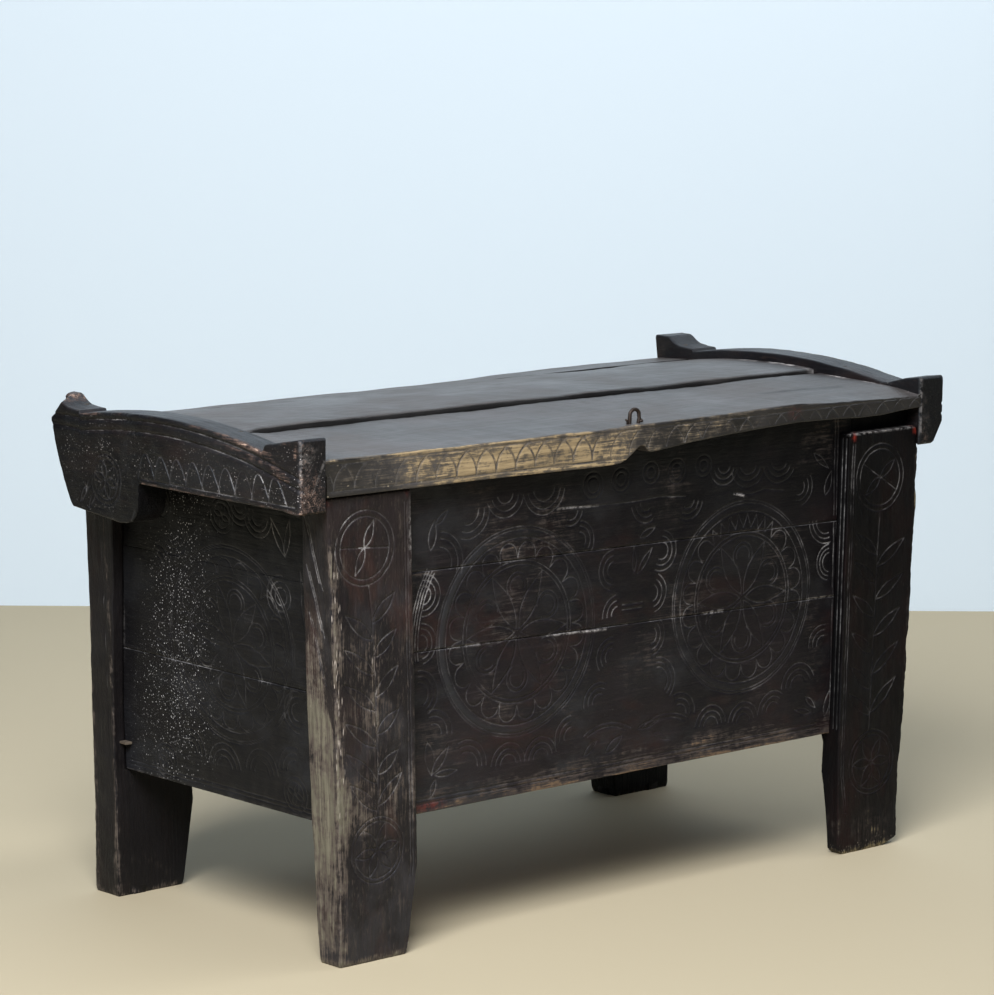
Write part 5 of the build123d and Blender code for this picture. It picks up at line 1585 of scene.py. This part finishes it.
# ------------------------------------------------------------------------------------------
# STAPLE.  A loop of forged iron wire, driven through the front lid board for the hasp that is
# lost.  One foot is turned over on the wood, and the other has a curl of wire left beside it.
# ------------------------------------------------------------------------------------------
IRON = bpy.data.materials.new("forged_wire")
IRON.use_nodes = True
iron_tree = IRON.node_tree
iron_skin = iron_tree.nodes["Principled BSDF"].inputs
iron_skin["Metallic"].default_value = 0.75
iron_place = iron_tree.nodes.new("ShaderNodeTexCoord").outputs["Object"]
scale_marks = add_node(iron_tree, "ShaderNodeTexNoise", {
    "Vector": iron_place, "Scale": 380.0, "Detail": 5.0}).outputs["Fac"]
iron_colour = add_node(iron_tree, "ShaderNodeValToRGB", {"Fac": scale_marks})
iron_colour.color_ramp.elements[0].color = (0.016, 0.013, 0.012, 1)
iron_colour.color_ramp.elements[1].color = (0.075, 0.055, 0.045, 1)
iron_rough = add_node(iron_tree, "ShaderNodeMapRange", {
    "Value": scale_marks, "To Min": 0.38, "To Max": 0.72})
iron_tree.links.new(iron_colour.outputs["Color"], iron_skin["Base Color"])
iron_tree.links.new(iron_rough.outputs["Result"], iron_skin["Roughness"])


def bent_wire(name, path, radius, around=14):
    """Round wire along a path of points in millimetres, with its ends closed."""
    path = np.asarray(path, float)
    ahead = np.gradient(path, axis=0)
    ahead /= np.linalg.norm(ahead, axis=1)[:, None]
    turn = np.linspace(0, 2 * math.pi, around, endpoint=False)
    rings = []
    for point, way, thick in zip(path, ahead, radius):
        first = np.cross(way, (0.0, 1.0, 0.0))
        first /= np.linalg.norm(first)
        second = np.cross(way, first)
        round_it = np.cos(turn)[:, None] * first + np.sin(turn)[:, None] * second
        rings.append(point + thick * round_it)
    return skin(name, rings)


STAPLE_Y = -257.5
down = np.linspace(0, 1, 14)[:, None]
bend = np.radians(np.linspace(180, 0, 20))
left_leg = (np.array((-18.6, STAPLE_Y, 652.0)) * (1 - down)
            + np.array((-17.4, STAPLE_Y, 677.5)) * down)
loop = np.column_stack([-8.9 + 8.5 * np.cos(bend), np.full(20, STAPLE_Y),
                        677.5 + 7.8 * np.sin(bend)])


def at_staple(points):
    """Points given as X, how far in front of the staple's plane, and height."""
    return np.array([(x, STAPLE_Y - before, z) for x, before, z in points])


right_leg = at_staple([(-0.2, 0, 675.0), (-0.1, 0.3, 672.5), (-0.7, 0, 670.0),
                       (-1.2, 0, 667.0), (-1.4, 0, 660.0), (-1.4, 0, 652.0)])
path = np.vstack([left_leg[:-1], loop, right_leg])
thick = np.full(len(path), 2.65) + 0.12 * np.sin(np.arange(len(path)) * 1.3)
staple = bent_wire("staple_loop", path, thick)
curl = at_staple([(-2.0, 3.2, 669.6), (-0.2, 4.6, 668.9), (1.9, 4.2, 669.0), (3.2, 2.2, 669.9),
                  (3.0, -0.2, 671.0), (1.6, -1.2, 671.8)])
stub = at_staple([(-21.6, 0.5, 664.0), (-22.3, 0.6, 669.0), (-24.0, 0.8, 671.5),
                  (-26.0, 1.0, 672.4)])
turned_in = [bent_wire("staple_curl", curl, np.linspace(1.9, 1.3, 6)),
             bent_wire("staple_stub", stub, np.linspace(1.9, 1.2, 4))]
for piece in [staple] + turned_in:
    for face in piece.data.polygons:
        face.use_smooth = True
    piece.data.materials.append(IRON)
    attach(piece, "lid")
    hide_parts("hasp_staple")

# ------------------------------------------------------------------------------------------
# THE ROOM.  A plain pale floor and a plain pale wall.  Soft light falls from high on the left,
# a long lamp washes the wall, and the camera stands before the chest's left-hand corner.
# ------------------------------------------------------------------------------------------
def plain(name, colour, rough):
    """Even, matt paint."""
    made = bpy.data.materials.new(name)
    made.use_nodes = True
    surface = made.node_tree.nodes["Principled BSDF"]
    surface.inputs["Base Color"].default_value = (*colour, 1.0)
    surface.inputs["Roughness"].default_value = rough
    surface.inputs["Specular IOR Level"].default_value = 0.2
    return made


def sheet_of(name, corners, finish):
    """A flat sheet that closes the room; its corners are in metres."""
    mesh = bpy.data.meshes.new(name)
    mesh.from_pydata(corners, [], [(0, 1, 2, 3)])
    mesh.materials.append(finish)
    set_down(name, mesh)


CAMERA_PLACE = Vector((-3.64076, -4.03672, 1.36424))
YAW, PITCH, ROLL = 0.7301272, 0.151726, 0.0059925
heading = Vector((math.sin(YAW), math.cos(YAW), 0.0))
beside_it = Vector((math.cos(YAW), -math.sin(YAW), 0.0))
WALL_DISTANCE = 7.49
FRAME_WIDTH, FOCAL_PIXELS = 994.0, 3899.478
foot_of_wall = CAMERA_PLACE.xy.to_3d() + heading * WALL_DISTANCE
sheet_of("floor", [(-9, -9, 0), (9, -9, 0), (9, 9, 0), (-9, 9, 0)],
         plain("floor_paint", (0.44, 0.385, 0.275), 0.75))
wall_left, wall_right = foot_of_wall - beside_it * 6, foot_of_wall + beside_it * 6
wall_height = Vector((0, 0, 6))
sheet_of("wall", [wall_left, wall_right, wall_right + wall_height, wall_left + wall_height],
         plain("wall_paint", (0.67, 0.78, 0.885), 0.9))


def lamp(name, place, aim, size, power, colour, opening=180.0):
    """A rectangular lamp, turned towards what it lights."""
    light = bpy.data.lights.new(name, "AREA")
    light.spread = math.radians(opening)
    light.shape = "RECTANGLE"
    light.size, light.size_y = size
    light.energy = power
    light.color = colour
    made = set_down(name, light)
    made.location = place
    made.rotation_mode = "QUATERNION"
    made.rotation_quaternion = (Vector(aim) - Vector(place)).to_track_quat("-Z", "Y")


lamp("window", (-2.4, -1.7, 3.0), (0.0, 0.0, 0.3), (1.9, 1.9), 256.0, (1.0, 1.0, 1.0))
lamp("wall_wash", foot_of_wall - heading * 1.6 + beside_it * 2.1 + Vector((0, 0, 4.2)),
     foot_of_wall + beside_it * 0.9 + Vector((0, 0, 1.4)), (5.0, 0.8), 51.0,
     (0.98, 0.99, 1.0), 120.0)
world = bpy.data.worlds.new("room")
world.use_nodes = True
sky = world.node_tree.nodes["Background"].inputs
sky["Color"].default_value = (0.80, 0.87, 0.95, 1)
sky["Strength"].default_value = 0.055
bpy.context.scene.world = world

# The camera looks along its heading, a little down, and hangs a hair off level.
cos_pitch, sin_pitch = math.cos(PITCH), math.sin(PITCH)
cos_roll, sin_roll = math.cos(ROLL), math.sin(ROLL)
forward = heading * cos_pitch + Vector((0, 0, -sin_pitch))
level_up = heading * sin_pitch + Vector((0, 0, cos_pitch))
right = beside_it * cos_roll + level_up * sin_roll
up = level_up * cos_roll - beside_it * sin_roll
lens = bpy.data.cameras.new("camera")
lens.sensor_fit = "HORIZONTAL"
lens.sensor_width = 36.0
lens.lens = lens.sensor_width * FOCAL_PIXELS / FRAME_WIDTH
lens.clip_end = 60.0
camera = set_down("camera", lens)
camera.matrix_world = Matrix((right, up, -forward)).transposed().to_4x4()
camera.location = CAMERA_PLACE
bpy.context.scene.camera = camera
bpy.context.scene.view_settings.view_transform = "Standard"
